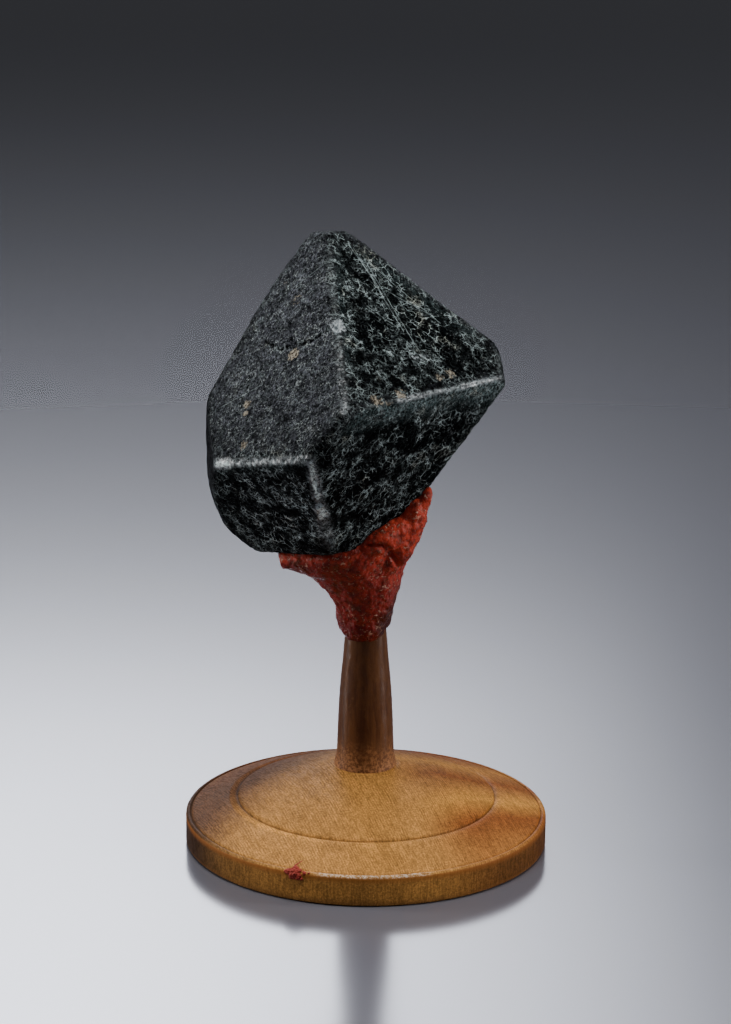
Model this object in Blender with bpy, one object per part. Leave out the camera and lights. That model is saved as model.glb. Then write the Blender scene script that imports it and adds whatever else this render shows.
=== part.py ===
"""Black octahedral spinel crystal, set in sealing wax on a small turned wooden pedestal.

The pieces are the base, the stem, the wax, the crystal and a small dab of wax on the rim.
The origin is the middle of the base's underside, +Z is up and the viewer is towards -Y.
"""
from math import cos, pi, radians, sin

import bmesh
import bpy
from mathutils import Euler, Vector, noise

MM = 0.001

# Turned base: a low cone with a groove, on a flat rim
BASE_RADIUS = 25.0 * MM
RIM_HEIGHT = 3.9 * MM
RIM_BEAD = 0.45 * MM
UNDERSIDE_ROUND = 0.5 * MM
GROOVE_RADIUS = 17.8 * MM
GROOVE_FLOOR = 6.5 * MM
GROOVE_WALL = 0.45 * MM
DOME_HEIGHT = 11.2 * MM
FOOT_RADIUS = 4.45 * MM
BASE_SEGMENTS = 64

# Stem: a tapered peg, its tenon let into a blind hole in the base
TENON_RADIUS = 2.4 * MM
TENON_LENGTH = 4.6 * MM
STEM_TOP = 36.0 * MM
STEM_TOP_RADIUS = 2.4 * MM
STEM_LEAN = radians(-0.8)
STEM_SEGMENTS = 32
FIT_GAP = 0.3 * MM
SEAT_GAP = 0.35 * MM

# Crystal: a distorted octahedron that leans forward and to one side
CRYSTAL_CENTRE = Vector((-2.45, -4.5, 64.5)) * MM
CRYSTAL_LEAN = radians(-10.3)
CRYSTAL_TILT = radians(-9.15)
WORN_RADIUS = 1.3 * MM
WORN_STEPS = 3
LAYER_HEIGHT = 0.28 * MM
CHIP_ROUGHNESS = 0.12
CHIP_STRETCH = 0.35

# Wax: how far it stands off the crystal and the stem, and how lumpy it is
WAX_GAP = 0.3 * MM
WAX_LUMP = 0.22 * MM
WAX_LUMP_SIZE = 3.0 * MM
WAX_STEPS_AROUND = 6
WAX_STEPS_UP = 3

# Face name: direction along the crystal's right, front and top axes, and distance in
# millimetres from the crystal's centre. The first eight are the octahedron.
CRYSTAL_FACES = {
    "front_upper_left": ((-1, 1, 1), 10.8),
    "front_upper_right": ((1, 1, 1), 10.4),
    "front_lower_right": ((1, 1, -1), 10.8),
    "front_lower_left": ((-1, 1, -1), 17.4),
    "back_upper_left": ((-1, -1, 1), 17.8),
    "back_upper_right": ((1, -1, 1), 17.6),
    "back_lower_right": ((1, -1, -1), 14.8),
    "back_lower_left": ((-1, -1, -1), 23.7),
    "top_point": ((0.05, -0.04, 1), 22.4),
    "right_point": ((1, 0, 0.08), 20.35),
    "left_point": ((-1, 0.14, 0.10), 18.9),
    "bottom_point": ((-0.04, -0.04, -1), 20.1),
    "front_ridge": ((0, 1, 0), 18.05),
    "back_ridge": ((0, -1, 0), 27.2),
    "left_shoulder": ((-0.76, -0.39, 0.52), 17.7),
    "left_heel": ((-0.96, 0.13, -0.24), 22.1),
}

# Growth layers: outline on a face, in millimetres across and up from the middle of the face
GROWTH_LAYERS = (
    ("front_upper_left", ((4.4, 4.9), (2.9, 4.6), (1.5, 3.4), (-0.6, 2.8), (-3.6, 2.6),
                          (-6.5, 3.4), (-9.3, 4.8), (-11.8, 6.4), (-10.6, 9.7),
                          (-5.6, 18.2), (-3.5, 18.2))),
    ("back_upper_left", ((-4.4, 12.6), (-14.6, -8.8), (-9.4, -7.6), (-6.0, -2.0),
                         (-1.6, 3.6), (1.2, 6.6))),
    ("back_upper_right", ((-5.6, -7.6), (14.6, -7.6), (11.4, -2.2), (6.4, 0.8), (3.0, 5.4),
                          (0.8, 3.0))),
    ("back_lower_right", ((3.2, 11.8), (17.8, 11.8), (21.2, 5.8), (15.2, 3.0), (9.2, 6.6))),
)

# Pits and chips: face, place across and up, width and depth, all in millimetres
CRYSTAL_CHIPS = (
    ("front_upper_left", -1.4, 1.6, 1.9, 0.40),
    ("front_upper_left", -3.8, 2.2, 1.1, 0.30),
    ("front_upper_left", -7.2, -5.9, 1.3, 0.25),
    ("front_upper_left", -5.2, -11.9, 1.2, 0.25),
    ("front_upper_left", 6.0, 4.4, 2.0, 0.70),
    ("front_upper_left", 3.4, 3.6, 2.2, 0.45),
    ("front_upper_left", -14.3, 1.6, 2.4, 0.70),
    ("front_upper_right", 6.4, -6.5, 2.8, 0.55),
    ("front_upper_right", -7.1, -7.0, 2.6, 0.60),
    ("front_upper_right", -2.8, -7.0, 2.4, 0.50),
    ("front_upper_right", 4.9, -2.1, 1.6, 0.30),
    ("front_lower_right", 9.2, -0.2, 2.2, 0.30),
    ("front_lower_right", 3.1, -2.7, 1.2, 0.25),
    ("front_lower_right", -12.6, -8.6, 2.2, 0.90),
    ("front_lower_left", -6.0, -6.4, 1.6, 0.25),
    ("back_upper_left", -4.2, -12.0, 2.6, 0.45),
    ("back_upper_right", 8.2, 4.0, 2.0, 0.40),
    ("back_upper_right", -1.0, -0.6, 1.4, 0.30),
    ("back_lower_right", 7.6, 0.4, 2.8, 0.50),
    ("back_lower_left", 1.8, 1.6, 2.2, 0.40),
)

# Wax ribs: bearing in degrees from +X round to +Y, then radius and height in millimetres
# from the lip on the stem up to where the rib dives into the crystal
WAX_RIBS = (
    (0, ((3.0, 31.8), (3.3, 33.0), (3.7, 34.6), (4.3, 36.8), (4.8, 39.2), (5.2, 42.0),
         (5.0, 45.4), (2.4, 50.0))),
    (45, ((3.0, 30.6), (3.6, 31.8), (4.1, 33.8), (4.6, 36.3), (5.1, 39.2), (5.4, 42.4),
          (4.6, 45.6), (1.6, 49.6))),
    (90, ((3.1, 28.8), (4.1, 30.4), (4.6, 32.6), (5.1, 35.6), (5.6, 38.8), (6.0, 42.0),
          (5.2, 45.0), (2.6, 48.6))),
    (135, ((3.0, 29.0), (4.3, 30.6), (5.0, 32.8), (6.0, 35.6), (7.2, 38.4), (8.2, 40.6),
           (8.4, 42.6), (6.6, 45.6))),
    (180, ((3.0, 29.2), (4.5, 30.8), (5.2, 33.4), (6.4, 35.6), (8.7, 38.1), (11.7, 39.2),
           (12.7, 41.4), (11.2, 44.6))),
    (225, ((3.1, 29.5), (4.4, 31.0), (5.1, 33.6), (6.5, 36.2), (8.4, 38.9), (10.2, 40.9),
           (10.9, 43.0), (9.0, 46.0))),
    (255, ((3.2, 29.9), (4.3, 31.3), (5.0, 33.6), (6.0, 36.5), (7.4, 39.5), (8.9, 42.2),
           (9.7, 44.4), (8.4, 47.4))),
    (290, ((3.1, 30.2), (3.9, 31.4), (4.5, 33.6), (5.3, 36.4), (6.1, 39.4), (6.7, 42.2),
           (6.9, 44.4), (5.6, 47.6))),
    (330, ((3.1, 31.4), (3.5, 32.6), (3.9, 34.4), (4.5, 36.8), (5.0, 39.4), (5.5, 42.2),
           (5.9, 45.0), (4.6, 49.4))),
)

# Lobes of wax pressed up against the crystal's lower right ridge: middle, the way that the
# lobe points, half length along it and half width across it, all in millimetres
WAX_LOBES = (
    ("right_lobe", (3.9, -3.8, 44.8), (0.47, 0.02, 0.88), 6.8, 2.7),
    ("left_tongue", (2.3, -6.3, 45.9), (0.80, 0.50, 0.33), 4.4, 2.1),
    ("upper_tip", (7.3, -3.9, 50.0), (0.35, 0.10, 0.93), 2.2, 1.0),
)

# Dab of wax on the front of the rim: bearing, reach along the rim, over it and thickness
DAB_BEARING = radians(247.6)
DAB_WIDTH = 1.25 * MM
DAB_DEPTH = 0.95 * MM
DAB_HEIGHT = 0.95 * MM


def clear_scene():
    """Remove every object, so that the script starts from an empty scene."""
    for item in list(bpy.data.objects):
        bpy.data.objects.remove(item, do_unlink=True)


def material(name, colour, roughness, metallic=0.0):
    """Plain surface finish."""
    finish = bpy.data.materials.new(name)
    finish.use_nodes = True
    shader = finish.node_tree.nodes["Principled BSDF"]
    shader.inputs["Base Color"].default_value = (*colour, 1.0)
    shader.inputs["Roughness"].default_value = roughness
    shader.inputs["Metallic"].default_value = metallic
    return finish


def piece(name, shape, finish=None):
    """Object made of a finished bmesh."""
    bmesh.ops.recalc_face_normals(shape, faces=shape.faces)
    mesh = bpy.data.meshes.new(name)
    shape.to_mesh(mesh)
    shape.free()
    item = bpy.data.objects.new(name, mesh)
    bpy.context.scene.collection.objects.link(item)
    if finish:
        mesh.materials.append(finish)
    return item


def cutter(name, shape):
    """Helper object that only cuts or joins other pieces."""
    item = piece(name, shape)
    item.hide_render = True
    item.display_type = "WIRE"
    return item


def combine(item, other, operation):
    """Boolean of one piece with a helper."""
    step = item.modifiers.new(other.name, "BOOLEAN")
    step.operation = operation
    step.solver = "EXACT"
    step.object = other


def smooth_sides(item, angle):
    """Smooth shading, with edges sharper than the angle kept crisp."""
    item.data.shade_smooth()
    item.data.set_sharp_from_angle(angle=angle)


def turned(profile, segments, grow=0.0):
    """Closed turned solid from (radius, height) points that start and end on the axis."""
    shape = bmesh.new()
    rings = []
    for radius, height in profile:
        if radius == 0.0:
            rings.append([shape.verts.new((0.0, 0.0, height))])
            continue
        around = (2.0 * pi * step / segments for step in range(segments))
        reach = radius + grow
        rings.append([shape.verts.new((reach * cos(turn), reach * sin(turn), height))
                      for turn in around])
    for lower, upper in zip(rings, rings[1:]):
        for step in range(segments):
            ahead = (step + 1) % segments
            corners = [lower[step % len(lower)], lower[ahead % len(lower)],
                       upper[ahead % len(upper)], upper[step % len(upper)]]
            shape.faces.new(dict.fromkeys(corners))
    return shape


def arc(middle, radius, start, end, steps):
    """Points on a round stretch of a turned profile."""
    turns = (start + (end - start) * step / steps for step in range(steps + 1))
    return [(middle[0] + radius * cos(turn), middle[1] + radius * sin(turn))
            for turn in turns]


def base_profile(clearance=0.0):
    """Outline of the base from the middle of its underside, round the rim, to its hole."""
    radius = BASE_RADIUS + clearance
    bead_top = RIM_HEIGHT + clearance + RIM_BEAD
    bead_middle = (radius - RIM_BEAD, RIM_HEIGHT + clearance)
    foot = UNDERSIDE_ROUND - clearance
    points = [(0.0, -clearance), (radius - UNDERSIDE_ROUND, -clearance)]
    points += [(radius, foot)]
    points += arc(bead_middle, RIM_BEAD, 0.0, 0.5 * pi, 3)
    points += [(radius - 0.75 * MM, bead_top - 0.1 * MM)]
    points += [(radius - 0.95 * MM, bead_top + 0.05 * MM)]
    points += [(GROOVE_RADIUS + 1.5 * MM, GROOVE_FLOOR - 0.2 * MM + clearance)]
    points += [(GROOVE_RADIUS + 0.7 * MM, GROOVE_FLOOR + clearance)]
    points += [(GROOVE_RADIUS + 0.1 * MM, GROOVE_FLOOR + clearance)]
    points += [(GROOVE_RADIUS - 0.1 * MM, GROOVE_FLOOR + GROOVE_WALL + clearance)]
    points += [(GROOVE_RADIUS - 0.4 * MM, GROOVE_FLOOR + GROOVE_WALL + 0.15 * MM + clearance)]
    points += [(0.5 * GROOVE_RADIUS, 0.895 * DOME_HEIGHT - 0.15 * MM + clearance)]
    points += [(FOOT_RADIUS + 1.4 * MM, DOME_HEIGHT - 0.45 * MM + clearance)]
    points += [(FOOT_RADIUS + 0.15 * MM, DOME_HEIGHT + clearance)]
    if clearance:
        return points + [(0.0, DOME_HEIGHT + clearance)]
    hole = TENON_RADIUS + FIT_GAP
    hole_floor = DOME_HEIGHT - TENON_LENGTH
    return points + [(hole, DOME_HEIGHT), (hole, hole_floor), (0.0, hole_floor)]


def stem_profile():
    """Outline of the stem from the end of its tenon to its top, inside the wax."""
    tenon_end = DOME_HEIGHT - TENON_LENGTH + FIT_GAP
    seat = DOME_HEIGHT + SEAT_GAP
    return [(0.0, tenon_end), (TENON_RADIUS, tenon_end), (TENON_RADIUS, seat),
            (FOOT_RADIUS, seat), (4.25 * MM, 12.3 * MM), (4.02 * MM, 13.4 * MM),
            (3.82 * MM, 15.2 * MM), (3.68 * MM, 17.6 * MM), (3.50 * MM, 20.5 * MM),
            (3.25 * MM, 23.6 * MM), (3.02 * MM, 26.4 * MM), (2.90 * MM, 29.2 * MM),
            (2.70 * MM, 32.5 * MM), (STEM_TOP_RADIUS, STEM_TOP), (0.0, STEM_TOP)]


def lean_stem(shape):
    """Tip the stem a little to one side about the middle of its foot."""
    seat = Vector((0.0, 0.0, DOME_HEIGHT))
    bmesh.ops.rotate(shape, verts=shape.verts, cent=seat,
                     matrix=Euler((0.0, STEM_LEAN, 0.0)).to_matrix())
    return shape


def crystal_turn():
    """Rotation from the upright crystal to the crystal as it is set."""
    return Euler((CRYSTAL_LEAN, CRYSTAL_TILT, 0.0)).to_matrix()


def face_plane(face, grow=0.0):
    """Middle of a crystal face and its outward direction."""
    (right, front, top), distance = CRYSTAL_FACES[face]
    outward = (crystal_turn() @ Vector((right, -front, top))).normalized()
    return CRYSTAL_CENTRE + outward * (distance * MM + grow), outward


def face_ways(face):
    """Directions across and up a crystal face."""
    _, outward = face_plane(face)
    axis = crystal_turn() @ Vector((0.0, 0.0, 1.0))
    up_way = (axis - outward * axis.dot(outward)).normalized()
    return up_way.cross(outward), up_way


def on_face(face, across, up):
    """Place on a crystal face, given in millimetres across and up from its middle."""
    middle, _ = face_plane(face)
    across_way, up_way = face_ways(face)
    return middle + (across_way * across + up_way * up) * MM


def slice_off(shape, spot, outward):
    """Cut away what lies beyond a plane and close the cut."""
    everything = shape.verts[:] + shape.edges[:] + shape.faces[:]
    cut = bmesh.ops.bisect_plane(shape, geom=everything, dist=1e-7, plane_co=spot,
                                 plane_no=outward, clear_outer=True)
    rim = [item for item in cut["geom_cut"] if isinstance(item, bmesh.types.BMEdge)]
    if len(rim) > 2:
        bmesh.ops.edgeloop_fill(shape, edges=rim)


def sharp_crystal(grow=0.0):
    """Crystal with flat faces and sharp edges, every face moved out by the same amount."""
    shape = bmesh.new()
    bmesh.ops.create_cube(shape, size=150.0 * MM)
    bmesh.ops.translate(shape, verts=shape.verts, vec=CRYSTAL_CENTRE)
    for face in CRYSTAL_FACES:
        slice_off(shape, *face_plane(face, grow))
    return shape


def worn_planes(shape):
    """Planes that round off each edge and corner, as a ball rolled along them would."""
    planes = []
    for edge in shape.edges:
        first, second = (face.normal for face in edge.link_faces)
        lean = (first + second).normalized()
        ball = edge.verts[0].co - lean * WORN_RADIUS / first.dot(lean)
        for step in range(WORN_STEPS):
            share = (step + 1) / (WORN_STEPS + 1)
            outward = first.slerp(second, share)
            planes.append((ball + outward * WORN_RADIUS, outward))
    for corner in shape.verts:
        normals = [face.normal for face in corner.link_faces]
        lean = sum(normals, Vector()).normalized()
        spread = sum(normal.dot(lean) for normal in normals) / len(normals)
        ball = corner.co - lean * WORN_RADIUS / spread
        planes.append((ball + lean * WORN_RADIUS, lean))
    return planes


def worn_crystal(grow=0.0):
    """Crystal with its edges and corners rounded by wear."""
    shape = sharp_crystal(grow)
    shape.normal_update()
    for spot, outward in worn_planes(shape):
        slice_off(shape, spot, outward)
    bmesh.ops.remove_doubles(shape, verts=shape.verts, dist=0.01 * MM)
    return shape


def layer_blocks():
    """Blocks that mark out where a growth layer stands on the crystal."""
    shape = bmesh.new()
    for face, outline in GROWTH_LAYERS:
        _, outward = face_plane(face)
        sides = []
        for lift in (-2.0 * MM, 2.0 * MM):
            sides.append([shape.verts.new(on_face(face, across, up) + outward * lift)
                          for across, up in outline])
        count = len(outline)
        shape.faces.new(sides[0])
        shape.faces.new(sides[1])
        for step in range(count):
            ahead = (step + 1) % count
            shape.faces.new((sides[0][step], sides[0][ahead],
                             sides[1][ahead], sides[1][step]))
    return shape


def chip_cutters():
    """Rough balls whose tips make the pits and chips, each a little longer one way."""
    shape = bmesh.new()
    for face, across, up, width, depth in CRYSTAL_CHIPS:
        _, outward = face_plane(face)
        across_way, up_way = face_ways(face)
        long_way = (across_way * sin(7.0 * up) + up_way * cos(7.0 * up))
        radius = (0.25 * width * width + depth * depth) / (2.0 * depth) * MM
        middle = on_face(face, across, up) + outward * (radius - depth * MM)
        ball = bmesh.ops.create_icosphere(shape, subdivisions=2, radius=radius)["verts"]
        for corner in ball:
            rough = 1.0 + CHIP_ROUGHNESS * noise.noise(corner.co / MM + middle / MM)
            stretch = long_way * corner.co.dot(long_way) * CHIP_STRETCH
            corner.co = corner.co * rough + stretch + middle
    return shape


def make_crystal(finish):
    """Crystal with its growth layers and chips."""
    crystal = piece("crystal", worn_crystal(), finish)
    layers = cutter("growth_layers", worn_crystal(LAYER_HEIGHT))
    combine(layers, cutter("layer_blocks", layer_blocks()), "INTERSECT")
    combine(crystal, layers, "UNION")
    combine(crystal, cutter("chips", chip_cutters()), "DIFFERENCE")
    return crystal


def between(points, place):
    """Point on a smooth curve through evenly numbered points, held at both ends."""
    index = min(int(place), len(points) - 2)
    share = place - index
    before, start, end, after = (points[min(max(index + step, 0), len(points) - 1)]
                                 for step in (-1, 0, 1, 2))
    return tuple(0.5 * (2.0 * b + (c - a) * share
                        + (2.0 * a - 5.0 * b + 4.0 * c - d) * share ** 2
                        + (3.0 * b - a - 3.0 * c + d) * share ** 3)
                 for a, b, c, d in zip(before, start, end, after))


def wax_ring(place):
    """Closed ring of wax at one stage on the way from the lip up to the crystal."""
    marks = [(bearing, *between(rib, place)) for bearing, rib in WAX_RIBS]
    around = [(bearing - 360.0, radius, height) for bearing, radius, height in marks[-1:]]
    around += marks
    around += [(bearing + 360.0, radius, height) for bearing, radius, height in marks[:2]]
    ring = []
    for step in range(len(marks) * WAX_STEPS_AROUND):
        bearing, radius, height = between(around, 1.0 + step / WAX_STEPS_AROUND)
        turn = radians(bearing)
        ring.append(Vector((radius * cos(turn), radius * sin(turn), height)) * MM)
    return ring


def lumpy(spot):
    """Move a point of wax in or out a little, as hand-pressed wax is uneven."""
    return spot + noise.noise_vector(spot / WAX_LUMP_SIZE) * WAX_LUMP


def wax_body():
    """Main lump of wax, from its lip on the stem to inside the crystal."""
    shape = bmesh.new()
    stages = (len(WAX_RIBS[0][1]) - 1) * WAX_STEPS_UP
    rings = [[shape.verts.new(lumpy(spot)) for spot in wax_ring(stage / WAX_STEPS_UP)]
             for stage in range(stages + 1)]
    for lower, upper in zip(rings, rings[1:]):
        for step in range(len(lower)):
            ahead = (step + 1) % len(lower)
            shape.faces.new((lower[step], lower[ahead], upper[ahead], upper[step]))
    for rim in (rings[0], rings[-1]):
        middle = shape.verts.new(sum((corner.co for corner in rim), Vector()) / len(rim))
        for step in range(len(rim)):
            shape.faces.new((rim[step], rim[(step + 1) % len(rim)], middle))
    return shape


def wax_lobe(middle, way, length, width):
    """One rounded lobe of wax."""
    shape = bmesh.new()
    bmesh.ops.create_icosphere(shape, subdivisions=3, radius=width * MM)
    turn = Vector((0.0, 0.0, 1.0)).rotation_difference(Vector(way))
    for corner in shape.verts:
        corner.co.z *= length / width
        corner.co = lumpy(turn @ corner.co + Vector(middle) * MM)
    return shape


def make_wax(finish):
    """Wax that holds the crystal on the stem, clear of both by the gap."""
    wax = piece("wax", wax_body(), finish)
    for name, *sizes in WAX_LOBES:
        lobe = cutter(name, wax_lobe(*sizes))
        lobe.data.shade_smooth()
        combine(wax, lobe, "UNION")
    combine(wax, cutter("crystal_seat", sharp_crystal(WAX_GAP)), "DIFFERENCE")
    lowest = 20.0 * MM
    socket = [(0.0, lowest)] + [(radius + WAX_GAP, height)
                                for radius, height in stem_profile() if height > lowest]
    socket[-2] = (STEM_TOP_RADIUS + WAX_GAP, STEM_TOP + WAX_GAP)
    socket[-1] = (0.0, STEM_TOP + WAX_GAP)
    socket.insert(1, (socket[1][0] + WAX_GAP, lowest))
    combine(wax, cutter("stem_seat", lean_stem(turned(socket, STEM_SEGMENTS))), "DIFFERENCE")
    return wax


def make_dab(finish):
    """Small dab of wax that fell on the front of the rim and laps over its edge."""
    shape = bmesh.new()
    bmesh.ops.create_icosphere(shape, subdivisions=3, radius=1.0)
    out = Vector((cos(DAB_BEARING), sin(DAB_BEARING), 0.0))
    along = Vector((-out.y, out.x, 0.0))
    middle = out * (BASE_RADIUS - 0.15 * MM) + Vector((0.0, 0.0, RIM_HEIGHT))
    for corner in shape.verts:
        rough = 1.0 + 0.2 * noise.noise(corner.co * 1.7)
        reach = corner.co * rough
        corner.co = (middle + along * reach.x * DAB_WIDTH + out * reach.y * DAB_DEPTH
                     + Vector((0.0, 0.0, reach.z * DAB_HEIGHT)))
    dab = piece("wax_dab", shape, finish)
    seat = turned(base_profile(WAX_GAP), 4 * BASE_SEGMENTS)
    combine(dab, cutter("rim_seat", seat), "DIFFERENCE")
    return dab


def main():
    """Build the whole specimen."""
    clear_scene()
    black_crystal = material("crystal_black", (0.018, 0.020, 0.022), 0.38)
    red_wax = material("wax_red", (0.34, 0.030, 0.016), 0.55)
    pale_wood = material("base_wood", (0.40, 0.20, 0.075), 0.42)
    dark_wood = material("stem_wood", (0.13, 0.050, 0.025), 0.36)

    base = piece("base", turned(base_profile(), BASE_SEGMENTS), pale_wood)
    smooth_sides(base, radians(35))
    stem = piece("stem", lean_stem(turned(stem_profile(), STEM_SEGMENTS)), dark_wood)
    smooth_sides(stem, radians(35))
    make_crystal(black_crystal)
    wax = make_wax(red_wax)
    smooth_sides(wax, radians(50))
    make_dab(red_wax)


main()
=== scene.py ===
"""Black spinel crystal in red sealing wax on a turned wooden pedestal, dressed over its frame.

Every piece stands for the solid of the same name. Tables are in millimetres and finished meshes
are in metres, with the origin in the middle of the underside, +Z up and the viewer towards -Y.
"""

from functools import reduce
from math import cos, pi, radians, sin

import bmesh
import bpy
import numpy as np
from bpy.props import FloatProperty, FloatVectorProperty, IntProperty, PointerProperty
from bpy.types import Operator, Panel, PropertyGroup
from mathutils import Euler, Matrix, Vector, noise


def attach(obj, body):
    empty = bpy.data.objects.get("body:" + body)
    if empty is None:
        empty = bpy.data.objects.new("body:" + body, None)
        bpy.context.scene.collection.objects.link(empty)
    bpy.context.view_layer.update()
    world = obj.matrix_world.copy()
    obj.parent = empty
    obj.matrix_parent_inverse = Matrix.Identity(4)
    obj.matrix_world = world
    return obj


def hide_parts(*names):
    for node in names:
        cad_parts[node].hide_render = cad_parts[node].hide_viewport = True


bl_info = {
    "name": "Spinel Crystal on a Pedestal",
    "version": (1, 0, 0),
    "blender": (4, 5, 0),
    "location": "View3D > Sidebar > Specimen",
    "description": "Builds a waxed crystal specimen around its packed frame",
    "category": "Add Mesh",
}

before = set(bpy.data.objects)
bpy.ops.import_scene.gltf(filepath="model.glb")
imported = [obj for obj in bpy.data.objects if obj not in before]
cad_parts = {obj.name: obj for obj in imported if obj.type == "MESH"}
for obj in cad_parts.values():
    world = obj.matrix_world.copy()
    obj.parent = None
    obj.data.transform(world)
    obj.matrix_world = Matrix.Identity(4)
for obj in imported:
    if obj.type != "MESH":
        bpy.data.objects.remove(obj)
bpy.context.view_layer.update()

MM = 0.001
BODY = "root"
REACH_UNIT = 20.0

# Crystal: where it is set, and each face's direction along its right, front and top axes with
# its distance from the crystal's centre. The first eight faces are the octahedron.
CRYSTAL_CENTRE = Vector((-2.45, -4.5, 64.5))
CRYSTAL_TURN = Euler((radians(-10.3), radians(-9.15), 0.0))
CRYSTAL_FACES = {
    "front_upper_left": ((-1, 1, 1), 10.8),
    "front_upper_right": ((1, 1, 1), 10.4),
    "front_lower_right": ((1, 1, -1), 10.8),
    "front_lower_left": ((-1, 1, -1), 17.4),
    "back_upper_left": ((-1, -1, 1), 17.8),
    "back_upper_right": ((1, -1, 1), 17.6),
    "back_lower_right": ((1, -1, -1), 14.8),
    "back_lower_left": ((-1, -1, -1), 23.7),
    "top_point": ((0.05, -0.04, 1), 22.4),
    "right_point": ((1, 0, 0.08), 20.35),
    "left_point": ((-1, 0.14, 0.10), 19.1),
    "bottom_point": ((-0.04, -0.04, -1), 20.1),
    "front_ridge": ((0, 1, 0), 18.05),
    "back_ridge": ((0, -1, 0), 27.2),
    "left_shoulder": ((-0.76, -0.39, 0.52), 17.7),
    "left_heel": ((-0.96, 0.13, -0.24), 22.1),
}

# How satin each face is, and how strong its etched network of light lines
SATIN_FACES = {"front_upper_left": 1.0, "back_upper_right": 0.8, "back_lower_left": 0.45}
# Strengths above 1 also paint the lines paler on the lower front faces, as painted light
NETWORK_FACES = {"front_upper_left": 0.20, "front_upper_right": 1.0, "front_lower_right": 1.12,
                 "front_lower_left": 1.28, "back_upper_left": 0.8, "back_upper_right": 0.4,
                 "back_lower_right": 0.6, "back_lower_left": 0.45, "right_point": 0.7}

# Pairs of faces whose ridge is worn broad and round
WORN_RIDGES = (("front_upper_left", "front_upper_right"),
               ("front_upper_left", "front_lower_left"),
               ("front_lower_right", "front_lower_left"))

# Worn light band along a ridge: how light it is, and how narrow, from 0 to 1
LIGHT_RIDGES = {("front_upper_left", "front_upper_right"): (0.36, 0.26),
                ("front_upper_right", "front_lower_right"): (0.56, 0.60),
                ("front_upper_left", "front_lower_left"): (0.70, 0.60),
                ("front_lower_right", "front_lower_left"): (0.62, 0.32),
                ("right_point", "front_upper_right"): (0.45, 0.30),
                ("right_point", "front_lower_right"): (0.50, 0.30),
                ("left_shoulder", "front_upper_left"): (0.40, 0.50),
                ("left_heel", "front_upper_left"): (0.50, 0.60),
                ("back_upper_left", "back_upper_right"): (0.80, 0.40),
                ("back_upper_right", "back_lower_right"): (0.80, 0.60),
                ("back_lower_right", "back_lower_left"): (0.60, 0.40)}

# Satin strip on a face beside the ridge to its neighbour: width and strength
SATIN_STRIPS = (("front_lower_right", "front_upper_right", 4.4, 0.95),
                ("front_lower_right", "right_point", 6.0, 0.80),
                ("back_upper_left", "top_point", 4.0, 0.60),
                ("back_lower_right", "back_upper_right", 3.0, 0.70))

# Corners of the crystal, each where three faces meet
CORNERS = {
    "left": ("front_upper_left", "front_lower_left", "left_heel"),
    "nose": ("front_upper_left", "front_lower_left", "front_lower_right"),
    "foot": ("front_lower_left", "front_lower_right", "bottom_point"),
    "brow": ("front_upper_left", "front_upper_right", "front_lower_right"),
    "peak": ("front_upper_left", "front_upper_right", "top_point"),
    "right": ("right_point", "front_upper_right", "front_lower_right"),
}

# Burnished stretches of ridge, worn and painted pale as highlights: the corners at its ends, the
# part of the way between the two, the reach, how light it is painted and how glossy it is
BURNISHED_HIGHLIGHTS = (
    ("left", "nose", 0.02, 0.22, 1.3, 1.0, 1.0),
    ("left", "nose", 0.24, 0.94, 1.0, 0.66, 0.7),
    ("nose", "foot", 0.04, 0.42, 1.3, 1.0, 0.1),
    ("nose", "foot", 0.53, 0.62, 1.5, 1.0, 0.6),
    ("nose", "foot", 0.66, 0.90, 1.8, 0.22, 0.0),
    ("brow", "peak", 0.02, 0.08, 1.1, 0.50, 0.5),
    ("brow", "peak", 0.12, 0.46, 1.6, 0.05, 0.16),
    ("brow", "right", 0.34, 1.0, 0.70, 0.50, 0.4),
)

# Growth layers: face, smallest and largest place across it, and how far up the step runs at
# even places between the two, never further from the middle than the reach
STEP_REACH = 20.0
GROWTH_STEPS = (
    ("front_upper_left", -12.0, 6.0, (6.6, 4.9, 3.2, 2.5, 2.7, 2.8, 4.2, 5.6)),
    ("back_upper_left", -14.0, 4.0, (-9.2, -7.8, -4.6, -1.6, 0.8, 3.6, 6.2, 8.0)),
    ("back_upper_right", -6.0, 14.0, (6.4, 5.2, 3.8, 3.6, 1.4, -0.6, -3.2, -6.6)),
    ("back_lower_right", 2.0, 22.0, (10.4, 8.2, 6.8, 5.2, 3.4, 3.0, 4.4, 5.8)),
)

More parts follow.
